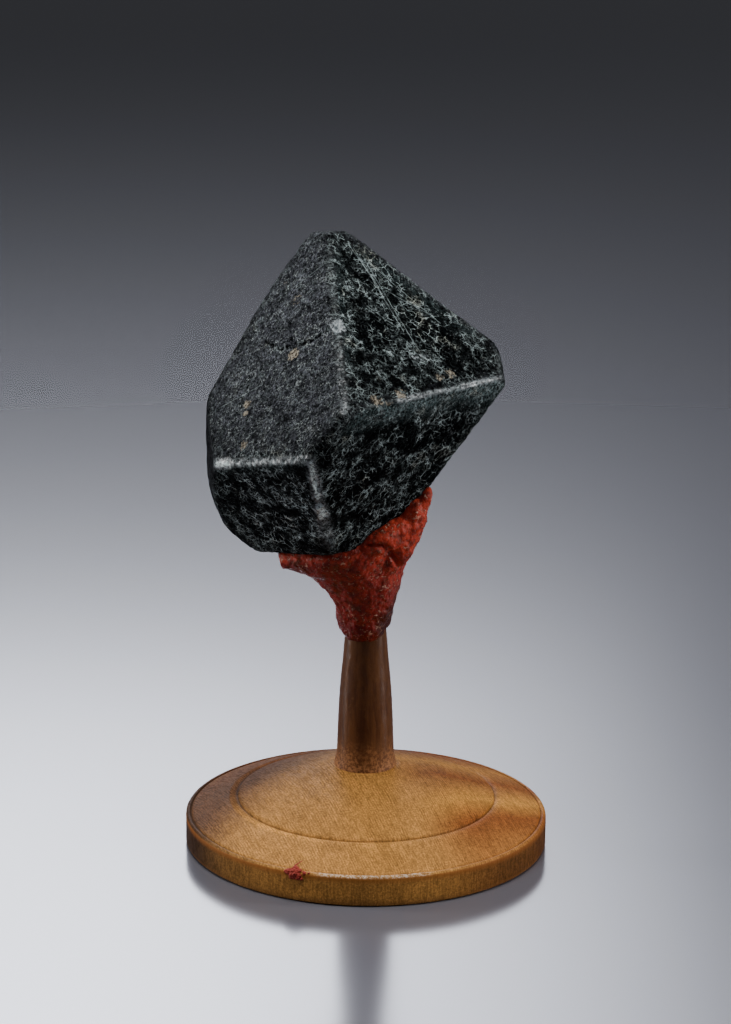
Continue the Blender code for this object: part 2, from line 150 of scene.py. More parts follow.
# Pits, grains and chips on each face: place across and up, width, depth (a grain stands proud),
# how tan and how chalky white it is
MARK_NUMBERS = ("width", "depth", "tan", "chalk")
CRYSTAL_MARKS = {
    "front_upper_left": (
        (-2.0, 2.6, 1.6, 0.45, 0.0, 0.0), (-1.2, 1.2, 2.4, -0.1, 1.0, 0.0),
        (-3.7, 2.2, 1.8, 0.3, 0.2, 0.35), (-7.2, -5.9, 2.0, 0.12, 0.75, 0.1),
        (-6.9, -7.2, 1.2, 0.1, 0.7, 0.0), (-5.2, -11.9, 1.9, 0.15, 0.6, 0.0),
        (-7.6, 12.2, 0.9, 0.15, 0.5, 0.1), (5.6, 5.5, 3.7, 0.3, 0.0, 0.9),
        (-10.8, 4.8, 1.8, 0.35, 0.0, 0.1), (-13.0, 2.6, 2.2, 0.5, 0.0, 0.0),
        (-4.0, 9.5, 3.2, 0.0, 0.34, 0.0), (-6.9, 6.5, 1.6, 0.1, 0.2, 0.3),
        (2.9, 4.6, 2.2, 0.55, 0.0, 0.0), (3.9, 3.6, 1.8, 0.1, 0.25, 0.25),
    ),
    "front_upper_right": (
        (6.2, -6.7, 3.0, 0.5, 0.0, 0.0), (7.6, -5.4, 2.4, 0.05, 0.55, 0.1),
        (5.4, -5.6, 1.6, 0.1, 0.6, 0.1), (-7.2, -7.0, 2.6, 0.1, 0.62, 0.0),
        (-5.2, -8.0, 1.9, 0.35, 0.7, 0.3), (-2.6, -6.8, 2.6, 0.15, 0.6, 0.1),
        (-4.2, -6.4, 2.0, 0.5, 0.0, 0.0), (5.0, -2.2, 2.4, 0.1, 0.0, 0.42),
        (3.4, -1.6, 1.8, 0.1, 0.2, 0.4),
    ),
    "front_lower_right": (
        (9.2, -0.2, 2.4, 0.2, 0.0, 0.25), (3.1, -2.7, 1.1, 0.12, 0.0, 0.35),
        (-12.4, -8.4, 1.8, 0.6, 0.2, 0.7), (-13.4, -6.8, 1.4, 0.2, 0.6, 0.0),
    ),
    "front_lower_left": (
        (-6.0, -6.4, 1.6, 0.2, 0.0, 0.2), (1.4, -3.0, 1.2, 0.12, 0.0, 0.2),
    ),
    "back_upper_left": (
        (-4.2, -12.0, 2.6, 0.45, 0.0, 0.0), (2.4, 4.2, 1.3, 0.1, 0.8, 0.0),
    ),
    "back_upper_right": (
        (8.2, 4.0, 2.0, 0.4, 0.0, 0.1), (-1.0, -0.6, 1.4, 0.3, 0.8, 0.0),
    ),
    "back_lower_right": (
        (7.6, 0.4, 2.8, 0.5, 0.0, 0.0), (9.0, -1.0, 1.2, 0.1, 0.8, 0.1),
    ),
    "back_lower_left": (
        (1.8, 1.6, 2.2, 0.4, 0.2, 0.1),
    ),
}

# Long straight scratches: face, start and end across and up, and strength
CRYSTAL_SCRATCHES = (
    ("front_upper_right", (4.9, 17.6), (5.2, 10.0), 0.8),
    ("front_upper_right", (5.3, 16.8), (4.5, 2.4), 0.7),
    ("front_upper_right", (5.8, 14.6), (4.8, -1.8), 0.6),
    ("front_upper_right", (6.6, 13.2), (11.4, 2.4), 0.6),
    ("front_upper_right", (1.2, 7.4), (4.0, 3.0), 0.5),
    ("front_upper_right", (6.0, 9.2), (10.9, 3.8), 0.6),
    ("front_upper_left", (-12.8, -6.2), (-5.4, -3.0), 0.35),
    ("front_upper_left", (-6.9, 10.4), (-0.1, 14.9), 0.25),
    ("front_lower_right", (-4.4, -10.6), (-1.0, -7.8), 0.3),
)

# Wax ribs: bearing in degrees from +X round to +Y, then radius and height from the lip on the
# stem up to where the rib dives into the crystal. The skin over them has some rings from each
# height to the next, and some sides from each rib to the next.
WAX_STAGES = 4
WAX_SIDES = 8
WAX_RIBS = (
    (0, ((3.0, 31.8), (3.3, 33.0), (3.7, 34.6), (4.3, 36.8), (4.8, 39.2), (5.2, 42.0),
         (5.0, 45.4), (2.4, 50.0))),
    (45, ((3.0, 30.6), (3.6, 31.8), (4.1, 33.8), (4.6, 36.3), (5.1, 39.2), (5.4, 42.4),
          (4.6, 45.6), (1.6, 49.6))),
    (90, ((3.1, 28.8), (4.1, 30.4), (4.6, 32.6), (5.1, 35.6), (5.6, 38.8), (6.0, 42.0),
          (5.2, 45.0), (2.6, 48.6))),
    (135, ((3.0, 29.0), (4.3, 30.6), (5.0, 32.8), (6.0, 35.6), (7.2, 38.4), (8.2, 40.6),
           (8.4, 42.6), (6.6, 45.6))),
    (180, ((3.0, 29.4), (4.0, 31.6), (4.5, 34.2), (5.6, 36.4), (7.8, 38.5), (10.4, 39.6),
           (14.0, 40.6), (12.2, 44.6))),
    (225, ((3.1, 29.6), (4.3, 31.2), (4.9, 33.8), (6.1, 36.4), (8.0, 39.0), (10.2, 40.9),
           (10.9, 43.0), (9.0, 46.0))),
    (255, ((3.2, 29.9), (4.3, 31.3), (5.0, 33.6), (6.0, 36.5), (7.4, 39.5), (8.9, 42.2),
           (9.7, 44.4), (8.4, 47.4))),
    (290, ((3.1, 30.2), (3.9, 31.4), (4.5, 33.6), (5.3, 36.4), (6.1, 39.4), (6.7, 42.2),
           (6.9, 44.4), (5.6, 47.6))),
    (330, ((3.1, 31.4), (3.5, 32.6), (3.9, 34.4), (4.5, 36.8), (5.0, 39.4), (5.5, 42.2),
           (5.9, 45.0), (4.6, 49.4))),
)

# Lobes of wax pressed up against the crystal: middle, way it points, half length, half width
WAX_LOBES = (
    ((3.9, -3.8, 44.8), (0.47, 0.02, 0.88), 6.8, 2.7),
    ((2.3, -6.3, 45.9), (0.80, 0.50, 0.33), 4.4, 2.1),
    ((7.3, -3.9, 50.0), (0.35, 0.10, 0.93), 2.2, 1.0),
)

# Crevice between two lobes, a pinhole, and crumbs stuck on the wax, with their radii
WAX_CREVICE = ((-0.3, -9.1, 45.5), (1.1, -9.1, 45.4), (2.3, -8.6, 45.0), (2.7, -7.9, 44.3),
               (3.1, -6.5, 43.3), (3.8, -6.0, 42.2), (4.4, -4.2, 40.4))
WAX_PINHOLE = (-10.05, -5.9, 42.0)
WAX_CRUMBS = (((-0.9, -7.9, 41.5), 0.42), ((-0.3, -7.6, 40.7), 0.30), ((3.2, -4.6, 38.4), 0.35),
              ((4.5, -7.0, 46.6), 0.42), ((5.2, -6.4, 47.4), 0.30), ((-1.8, -7.4, 39.6), 0.28),
              ((1.2, -6.4, 39.0), 0.30), ((-4.4, -7.8, 42.2), 0.32), ((0.4, -5.9, 36.8), 0.26))

# How deep the wax's skin lies in the crystal, as a share of the way out to its surface, and how
# far from the crystal the wax was broken fresh
WAX_DEPTH = 0.99
CONTACT_REACH = 2.4

# Broken edge of the wax on the left: its X at a height, and how it moves in further down
WAX_EDGE = -12.1
WAX_EDGE_HEIGHT = 42.1
WAX_EDGE_SLOPE = 0.27

# Turned base: radius and height from the middle of the underside round the rim to its hole,
# how fine its profile is made and how uneven it is round the axis
BASE_RADIUS = 25.0
BEAD_RADIUS = 24.27
GROOVE_RADIUS = 17.8
BASE_STEP = 0.6
BASE_RIPPLE = 0.012
SHARP_ANGLE = radians(50)
BASE_PROFILE = (
    (0.0, 0.0), (8.0, 0.0), (16.0, 0.0), (22.0, 0.0), (24.3, 0.0), (24.62, 0.06), (24.88, 0.24),
    (25.0, 0.52), (25.0, 1.2), (25.0, 2.0), (25.0, 2.8), (25.0, 3.5), (25.0, 3.86),
    (24.97, 4.04), (24.88, 4.2), (24.74, 4.31), (24.56, 4.35), (24.42, 4.32), (24.34, 4.24),
    (24.27, 4.19), (24.19, 4.24), (24.1, 4.36), (23.98, 4.43), (23.8, 4.49), (22.6, 4.96),
    (21.2, 5.52), (20.0, 5.97), (19.3, 6.22), (18.9, 6.36), (18.5, 6.46), (18.2, 6.48),
    (18.0, 6.45), (17.9, 6.40), (17.82, 6.42), (17.74, 6.56), (17.66, 6.70), (17.50, 6.80),
    (17.2, 6.93), (16.4, 7.27), (15.0, 7.83), (13.2, 8.52), (11.0, 9.28), (8.9, 9.88),
    (7.2, 10.33), (5.9, 10.76), (5.2, 10.97), (4.8, 11.12), (4.6, 11.18), (4.3, 11.2),
    (2.45, 11.2), (2.45, 6.6), (0.0, 6.6),
)

# Stem: radius and height from the end of its tenon to its top, inside the wax, with its lean,
# fineness and unevenness
STEM_LEAN = radians(-0.3)
STEM_SHIFT = -0.18
STEM_FOOT = 11.2
STEM_SEGMENTS = 128
STEM_STEP = 0.35
STEM_RIPPLE = 0.03
STEM_PROFILE = (
    (0.0, 6.7), (2.25, 6.7), (2.25, 11.10), (4.2, 11.12), (4.30, 11.20), (4.24, 11.5),
    (4.16, 11.9), (4.08, 12.3), (4.02, 12.85), (3.96, 13.4), (3.90, 14.2), (3.86, 15.2),
    (3.82, 16.4), (3.78, 17.6), (3.72, 19.0), (3.65, 20.5), (3.55, 22.1), (3.42, 23.6),
    (3.29, 25.0), (3.16, 26.4), (3.04, 27.8), (2.94, 29.2), (2.80, 30.8), (2.70, 32.5),
    (2.55, 34.2), (2.40, 36.0), (0.0, 36.0),
)

# Dab of wax on the front of the rim: lumps with place along the rim, over it and up, and size,
# and the strand drawn out of it with its width and how much thinner it gets
DAB_BEARING = radians(247.6)
DAB_HEIGHT = 3.95
DAB_INSET = 0.15
DAB_VOXEL = 0.00007
DAB_LUMPS = (((0.0, 0.0, 0.05), 0.72), ((-0.80, 0.05, 0.22), 0.42), ((0.62, 0.08, -0.26), 0.50),
             ((0.75, -0.10, 0.30), 0.36), ((-0.30, 0.12, -0.50), 0.36), ((1.00, 0.10, -0.50), 0.28),
             ((0.05, -0.30, 0.50), 0.46), ((1.45, -0.10, 0.20), 0.26), ((2.1, -0.16, 0.26), 0.18),
             ((-1.25, 0.02, 0.05), 0.24))
DAB_STRAND = ((-0.25, -0.35, 0.62), (-0.15, -0.75, 0.86), (0.12, -1.20, 1.05),
              (0.42, -1.75, 1.22))
STRAND_WIDTH = 0.13
STRAND_TAPER = 0.09
STRAND_RINGS = 12
STRAND_SIDES = 8

# Stage, in metres: floor, softboxes with their place, aim, size, power, spread and colour,
# surroundings and camera
FLOOR_REACH = 4.0
FLOOR_DROP = -0.00002
AIM = (0.0, 0.0, 0.045)
WHITE = (1.0, 1.0, 1.0)
SOFT_BOXES = {
    "back_box": ((-0.16, 1.10, 0.605), (-0.02, -0.06, 0.0), (1.10, 0.46), "back_light", 27,
                 (0.86, 0.89, 1.0)),
    "left_box": ((-0.42, 0.05, 0.16), AIM, (0.07, 0.30), "side_light", 100, WHITE),
    "right_box": ((0.42, -0.03, 0.18), AIM, (0.07, 0.30), "side_light", 100, WHITE),
    "top_box": ((-0.03, -0.10, 0.50), AIM, (0.26, 0.22), "top_light", 104, WHITE),
}
WORLD_COLOUR = (0.80, 0.82, 0.90, 1.0)
WORLD_STRENGTH = 0.074
CAMERA_PITCH = radians(16.42)
CAMERA_ROLL = radians(0.60)
CAMERA_AIM = Vector((-0.0005, 0.0, 0.0474))
CAMERA_DISTANCE = 0.5
SENSOR_WIDTH = 36.0
NEAREST_SEEN = 0.01


def colour_setting(name, tone, description):
    """Colour that a user can change."""
    return FloatVectorProperty(name=name, default=tone, size=3, subtype="COLOR", min=0.0, max=1.0,
                               description=description)


class CrystalSettings(PropertyGroup):
    """Sizes and colours of the crystal."""

    crisp: FloatProperty(name="Crisp edges", default=90.0, min=8.0, max=150.0,
                         description="Sharpness of the crisp edges")
    worn: FloatProperty(name="Worn edges", default=20.0, min=8.0, max=90.0,
                        description="Sharpness of the broad worn ridges")
    layer: FloatProperty(name="Layer height", default=0.34, min=0.0, max=1.0,
                         description="Height of a growth layer in millimetres")
    etch: FloatProperty(name="Etch depth", default=0.07, min=0.0, max=0.4,
                        description="Depth of the etched network in millimetres")
    grain: FloatProperty(name="Grain", default=0.07, min=0.0, max=0.4,
                         description="Height of the worn surface's grain in millimetres")
    chipping: FloatProperty(name="Edge chipping", default=0.34, min=0.0, max=1.0,
                            description="Depth of small chips along the edges in millimetres")
    detail: IntProperty(name="Detail", default=7, min=3, max=7,
                        description="How many times the octahedron's faces are divided")
    black: colour_setting("Black", (0.0006, 0.0008, 0.0010), "Colour of the etched faces")
    satin: colour_setting("Satin", (0.0275, 0.0290, 0.0335), "Colour of the satin faces")
    network: colour_setting("Network", (0.42, 0.50, 0.50), "Colour of the fine light lines")
    worn_tone: colour_setting("Worn edge", (0.060, 0.068, 0.068), "Colour of worn ridges")


class WaxSettings(PropertyGroup):
    """Sizes and colours of the sealing wax."""

    voxel: FloatProperty(name="Fineness", default=0.00017, min=0.0001, max=0.001,
                         subtype="DISTANCE", unit="LENGTH",
                         description="Size of the smallest step in the wax")
    lumps: FloatProperty(name="Lumps", default=0.30, min=0.0, max=1.0,
                         description="Height of the hand-pressed lumps in millimetres")
    grain: FloatProperty(name="Grain", default=0.13, min=0.0, max=0.5,
                         description="Height of the rough grain in millimetres")
    # Bright red is fresh broken wax and also painted light up and to the right; wine red is partly
    # painted shade
    bright: colour_setting("Bright red", (0.60, 0.058, 0.028),
                           "Fresh broken wax next to the crystal")
    wine: colour_setting("Wine red", (0.300, 0.023, 0.014), "Old dark wax lower down")


class WoodSettings(PropertyGroup):
    """Sizes and colours of the turned wood."""

    segments: IntProperty(name="Segments", default=256, min=64, max=384,
                          description="Steps round the turned base")
    tan: colour_setting("Tan", (0.50, 0.232, 0.058), "Light wood of the base")
    gold: colour_setting("Gold", (0.58, 0.260, 0.050), "Golden bands of the base")
    rust: colour_setting("Rust", (0.26, 0.078, 0.015), "Orange brown bands of the base")
    umber: colour_setting("Umber", (0.092, 0.038, 0.017), "Dark brown bands of the base")
    stain: colour_setting("Stem stain", (0.090, 0.031, 0.011), "Dark brown of the stem")


class StageSettings(PropertyGroup):
    """Floor, light and camera."""

    floor: colour_setting("Floor", (0.135, 0.135, 0.160), "Colour of the pale floor")
    back_light: FloatProperty(name="Back light", default=0.56, min=0.0, unit="POWER",
                              description="Power of the wide softbox behind")
    side_light: FloatProperty(name="Side light", default=0.34, min=0.0, unit="POWER",
                              description="Power of each softbox at the sides")
    top_light: FloatProperty(name="Top light", default=0.66, min=0.0, unit="POWER",
                             description="Power of the softbox overhead")
    lens: FloatProperty(name="Lens", default=129.5, min=20.0, max=400.0, unit="CAMERA",
                        description="Focal length of the camera")


class Nodes:
    """Adds nodes to a node tree and links them."""

    def __init__(self, tree):
        self.tree = tree

    def add(self, kind, feeds=(), **settings):
        """Add a node. Feeds maps an input's name or number to what goes into it."""
        node = self.tree.nodes.new(kind)
        for name, value in settings.items():
            setattr(node, name, value)
        for socket, value in dict(feeds).items():
            self.feed(node.inputs[socket], value)
        return node

    def feed(self, socket, value):
        """Link a value that comes out of a node to an input, or set the input itself."""
        if isinstance(value, Value):
            self.tree.links.new(value.socket, socket)
        else:
            socket.default_value = value

    def out(self, kind, feeds=(), output=0, **settings):
        """Add a node and take what comes out of it."""
        return Value(self, self.add(kind, feeds, **settings).outputs[output])

    def maths(self, operation, *terms):
        """Number worked out from one to three others."""
        return self.out("ShaderNodeMath", enumerate(terms), operation=operation)

    def ways(self, operation, *terms):
        """Vector, or a length or product, worked out from others."""
        places = (0, 3) if operation == "SCALE" else (0, 1)
        single = operation in ("DOT_PRODUCT", "LENGTH", "DISTANCE")
        return self.out("ShaderNodeVectorMath", zip(places, terms),
                        "Value" if single else "Vector", operation=operation)

    def mix(self, share, low, high, mode="MIX"):
        """Mix of two colours."""
        feeds = {0: share}
        for place, tone in ((6, low), (7, high)):
            feeds[place] = tone if isinstance(tone, Value) else (*tone, 1.0)
        return self.out("ShaderNodeMix", feeds, 2, data_type="RGBA", blend_type=mode)

    def dim(self, colour, brightness):
        """Colour times a brightness."""
        grey = self.out("ShaderNodeCombineXYZ", enumerate((brightness,) * 3))
        return self.mix(1.0, colour, grey, "MULTIPLY")

    def stored(self, name):
        """Number that the piece carries under a name, for its material."""
        return self.out("ShaderNodeAttribute", output="Fac", attribute_name=name)

    def carried(self, name):
        """Number that a geometry tree's points carry under a name."""
        return self.out("GeometryNodeInputNamedAttribute", {"Name": name}, data_type="FLOAT")


def worked_out(operation, swapped=False):
    """Method that works a number out from a value and another."""
    def method(self, other=0.0):
        terms = (other, self) if swapped else (self, other)
        return self.nodes.maths(operation, *terms)
    return method


class Value:
    """Number, vector or colour that comes out of a node, for sums and for more nodes."""

    __add__ = __radd__ = worked_out("ADD")
    __mul__ = __rmul__ = worked_out("MULTIPLY")
    __sub__, __rsub__ = worked_out("SUBTRACT"), worked_out("SUBTRACT", True)
    __truediv__, __rtruediv__ = worked_out("DIVIDE"), worked_out("DIVIDE", True)
    __pow__, __abs__, sine = worked_out("POWER"), worked_out("ABSOLUTE"), worked_out("SINE")
    at_least, at_most = worked_out("MAXIMUM"), worked_out("MINIMUM")

    def __init__(self, nodes, socket):
        self.nodes, self.socket = nodes, socket

    def clamped(self):
        """The same number, kept between 0 and 1."""
        self.socket.node.use_clamp = True
        return self

    def ways(self, operation, *terms):
        """Vector, or a length or product, worked out from this and others."""
        return self.nodes.ways(operation, self, *terms)

    def dot(self, way):
        """Length along a direction."""
        return self.ways("DOT_PRODUCT", way)

    def parts(self):
        """The three parts of a vector."""
        node = self.nodes.add("ShaderNodeSeparateXYZ", {0: self})
        return [Value(self.nodes, output) for output in node.outputs]

    def fade(self, low, high, start=0.0, end=1.0):
        """Smooth change from start to end as the number goes from low to high."""
        return self.nodes.out("ShaderNodeMapRange", enumerate((self, low, high, start, end)),
                              interpolation_type="SMOOTHSTEP")

    def blend(self, low, high):
        """Number between two others, at this share of the way."""
        return (high - low) * self + low

    def noise(self, scale, detail=2.0, roughness=0.5, output=0):
        """Soft random number around one half."""
        return self.nodes.out("ShaderNodeTexNoise", {"Vector": self, "Scale": scale,
                                                     "Detail": detail, "Roughness": roughness},
                              output)

    def cells(self, scale, output="Distance", feature="F1"):
        """Random cells: distance to a cell's middle, or its colour."""
        return self.nodes.out("ShaderNodeTexVoronoi", {"Vector": self, "Scale": scale}, output,
                              feature=feature)

    def edges(self, scale):
        """Distance to the nearest edge between random cells."""
        return self.cells(scale, feature="DISTANCE_TO_EDGE")

    def warp(self, scale, reach, detail=1.0):
        """Place shifted at random by up to about half the reach."""
        offset = self.noise(scale, detail, output=1).ways("SUBTRACT", (0.5, 0.5, 0.5))
        return self.ways("ADD", offset.ways("SCALE", reach))

    def tint(self, low, high):
        """Mix of two colours, with this share of the second."""
        return self.nodes.mix(self, low, high)

    def painted(self, *coats):
        """This colour under coats of others, each with its share and its colour."""
        colour = self
        for share, tone in coats:
            colour = share.tint(colour, tone)
        return colour

    def ramp(self, stops):
        """Colour that runs through stops of place and colour."""
        node = self.nodes.add("ShaderNodeValToRGB", {0: self})
        elements = node.color_ramp.elements
        while len(elements) < len(stops):
            elements.new(0.5)
        for element, (place, colour) in zip(elements, stops):
            element.position = place
            element.color = (*colour, 1.0)
        return Value(self.nodes, node.outputs[0])

    def curve(self, heights):
        """Number that follows a curve through evenly spaced heights between 0 and 1."""
        node = self.nodes.add("ShaderNodeFloatCurve", {1: self})
        points = node.mapping.curves[0].points
        while len(points) < len(heights):
            points.new(0.5, 0.5)
        for number, height in enumerate(heights):
            points[number].location = (number / (len(heights) - 1), height)
        node.mapping.update()
        return Value(self.nodes, node.outputs[0])


def link_item(name, data):
    """Object at the origin for a mesh, a light or a camera."""
    item = bpy.data.objects.new(name, data)
    bpy.context.scene.collection.objects.link(item)
    return item


def settle(item):
    """Turn a piece's modifiers into a plain mesh."""
    bpy.context.view_layer.update()
    graph = bpy.context.evaluated_depsgraph_get()
    mesh = bpy.data.meshes.new_from_object(item.evaluated_get(graph), depsgraph=graph,
                                           preserve_all_data_layers=True)
    mesh.name = item.name
    item.modifiers.clear()
    item.data = mesh
    return item


def finish_piece(item, node, material):
    """Give a piece its material and let it stand for its node."""
    item.data.materials.clear()
    item.data.materials.append(material)
    item.data.shade_smooth()
    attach(item, BODY)
    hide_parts(node)


def surface(name):
    """New material, its nodes and the place on its piece in millimetres."""
    material = bpy.data.materials.new(name)
    material.use_nodes = True
    nodes = Nodes(material.node_tree)
    place = nodes.out("ShaderNodeTexCoord", output="Object")
    return material, nodes, place.ways("SCALE", 1.0 / MM)


def dress(material, nodes, looks, relief=None, depth=0.0, strength=1.0):
    """Set a material's looks, and bump from a relief with its full depth in millimetres."""
    if relief:
        looks["Normal"] = nodes.out("ShaderNodeBump", {"Height": relief, "Distance": depth * MM,
                                                       "Strength": strength})
    shader = material.node_tree.nodes["Principled BSDF"]
    for name, value in looks.items():
        nodes.feed(shader.inputs[name], value)
    return material


def face_axes(face):
    """Outward, across and up directions of a crystal face, in the crystal's own axes."""
    right, front, top = CRYSTAL_FACES[face][0]
    outward = Vector((right, -front, top)).normalized()
    axis = Vector((0.0, 0.0, 1.0))
    up_way = (axis - outward * axis.dot(outward)).normalized()
    return outward, up_way.cross(outward), up_way


def on_face(face, across, up):
    """Place on a crystal face in the crystal's own axes."""
    outward, across_way, up_way = face_axes(face)
    return outward * CRYSTAL_FACES[face][1] + across_way * across + up_way * up


def corner(name):
    """Place where the three faces of a corner meet, in the crystal's own axes."""
    faces = CORNERS[name]
    ways = [tuple(face_axes(face)[0]) for face in faces]
    return Vector(np.linalg.solve(ways, [CRYSTAL_FACES[face][1] for face in faces]))


def crystal_depth(places, crisp, worn):
    """How far out points in the scene lie, as a share of the way to the crystal's surface."""
    turn = np.array(CRYSTAL_TURN.to_matrix())
    local = (places - np.array(CRYSTAL_CENTRE)) @ turn
    reach = {face: np.clip(local @ np.array(face_axes(face)[0]) / distance, 0.0, None)
             for face, (_, distance) in CRYSTAL_FACES.items()}
    hard, soft = (sum(value ** power for value in reach.values()) for power in (crisp, worn))
    mask = sum(4.0 * (reach[one] * reach[two]) ** worn for one, two in WORN_RIDGES) / soft ** 2
    mask = np.clip(mask, 0.0, 1.0)
    return (1.0 - mask) * hard ** (1.0 / crisp) + mask * soft ** (1.0 / worn)


def crystal_marks():
    """Points that carry each mark's width, depth and tints."""
    mesh = bpy.data.meshes.new("crystal_marks")
    marks = [(face, *mark) for face, rows in CRYSTAL_MARKS.items() for mark in rows]
    mesh.from_pydata([on_face(*mark[:3]) for mark in marks], [], [])
    for number, name in enumerate(MARK_NUMBERS, 3):
        values = [mark[number] for mark in marks]
        mesh.attributes.new(name, "FLOAT", "POINT").data.foreach_set("value", values)
    return mesh


def new_tree(name, sizes):
    """Geometry tree with named sizes: its nodes, what it is given and where it ends."""
    tree = bpy.data.node_groups.new(name, "GeometryNodeTree")
    face = tree.interface
    for way in ("INPUT", "OUTPUT"):
        face.new_socket(name="Geometry", in_out=way, socket_type="NodeSocketGeometry")
    for label, value in sizes.items():
        kind = {int: "Int", float: "Float"}.get(type(value), "Material")
        socket = face.new_socket(name=label, in_out="INPUT", socket_type="NodeSocket" + kind)
        if kind != "Material":
            socket.default_value = value
    nodes = Nodes(tree)
    given = {socket.name: Value(nodes, socket) for socket in nodes.add("NodeGroupInput").outputs}
    return tree, nodes, given, nodes.add("NodeGroupOutput").inputs[0]


def set_sizes(item, tree, sizes):
    """Add a geometry tree to a piece with its sizes, each set by its socket's identifier."""
    step = item.modifiers.new("grow", "NODES")
    step.node_group = tree
    for socket in tree.interface.items_tree:
        if socket.in_out == "INPUT" and socket.name in sizes:
            step[socket.identifier] = sizes[socket.name]


def rounded(reach, sharpness):
    """Distance out along a direction to faces with rounded edges, their shares and the wear."""
    shares = {face: near ** sharpness for face, near in reach.items()}
    total = sum(shares.values())
    wear = (1.0 - reduce(Value.at_least, shares.values()) / total) * 2.0
    shares = {face: share / total for face, share in shares.items()}
    return total ** (-1.0 / sharpness), shares, wear.clamped()


def crystal_shape(place, sizes):
    """Place on the worn crystal along a direction, the faces' shares there and the edge wear."""
    way = place.ways("NORMALIZE")
    reach = {face: way.dot(face_axes(face)[0]).at_least(0.0) * REACH_UNIT / sizes[face]
             for face in CRYSTAL_FACES}
    crisp_out, _, crisp_wear = rounded(reach, sizes["Crisp edges"])
    worn_out, shares, worn_wear = rounded(reach, sizes["Worn edges"])
    mask = sum(shares[one] * shares[two] * 4.0 for one, two in WORN_RIDGES).at_most(1.0)
    out = mask.blend(crisp_out, worn_out) * REACH_UNIT
    return way.ways("SCALE", out), shares, mask.blend(crisp_wear, worn_wear)


def growth_height(place, shares):
    """Growth layers from 0 to 1, each a ragged step across its face, and how near its edge is."""
    total, edge = 0.0, 0.0
    ragged = place.noise(0.9, 3.0, 0.6) - 0.5
    for face, low, high, steps in GROWTH_STEPS:
        _, across_way, up_way = face_axes(face)
        across = ((place.dot(across_way) - low) / (high - low)).clamped()
        line = across.curve([(step + STEP_REACH) / (2.0 * STEP_REACH) for step in steps])
        line = ragged * 1.9 + (line * (2.0 * STEP_REACH) - STEP_REACH)
        rise = place.dot(up_way) - line
        total = rise.fade(-0.10, 0.10) * shares[face] + total
        edge = abs(rise + 0.12).fade(0.05, 1.0, 1.0, 0.0) * shares[face] + edge
    return total, edge


def along_line(place, start, end):
    """Distance from a straight stretch."""
    way = end - start
    offset = place.ways("SUBTRACT", start)
    share = offset.dot(way / way.length_squared).at_most(1.0).at_least(0.0)
    return offset.ways("DISTANCE", place.nodes.ways("SCALE", way, share))


def rubbed_highlights(place):
    """Painted highlight and wear along the crystal's ridges, and their gloss, each from 0 to 1."""
    light, gloss = 0.0, 0.0
    for start, end, low, high, reach, pale, shine in BURNISHED_HIGHLIGHTS:
        first, last = corner(start), corner(end)
        away = along_line(place, first.lerp(last, low), first.lerp(last, high))
        near = away.fade(0.38 * reach, reach, 1.0, 0.0)
        light, gloss = (near * pale).at_least(light), (near * shine).at_least(gloss)
    return light, gloss


def nearest_mark(nodes, marks, place):
    """Closeness to the nearest mark, from 1 at its middle to 0 at its rim, and its numbers."""
    near = nodes.out("GeometryNodeSampleNearest", {"Geometry": marks, "Sample Position": place},
                     domain="POINT")

    def read(value, kind="FLOAT"):
        return nodes.out("GeometryNodeSampleIndex", {"Geometry": marks, "Index": near,
                                                     "Value": value},
                         data_type=kind, domain="POINT")

    found = {name: read(nodes.carried(name)) for name in MARK_NUMBERS}
    middle = read(nodes.out("GeometryNodeInputPosition"), "FLOAT_VECTOR")
    away = place.warp(1.1, 1.1, 2.0).ways("DISTANCE", middle) / (found["width"] * 0.5)
    return (1.0 - away * away).at_least(0.0), found


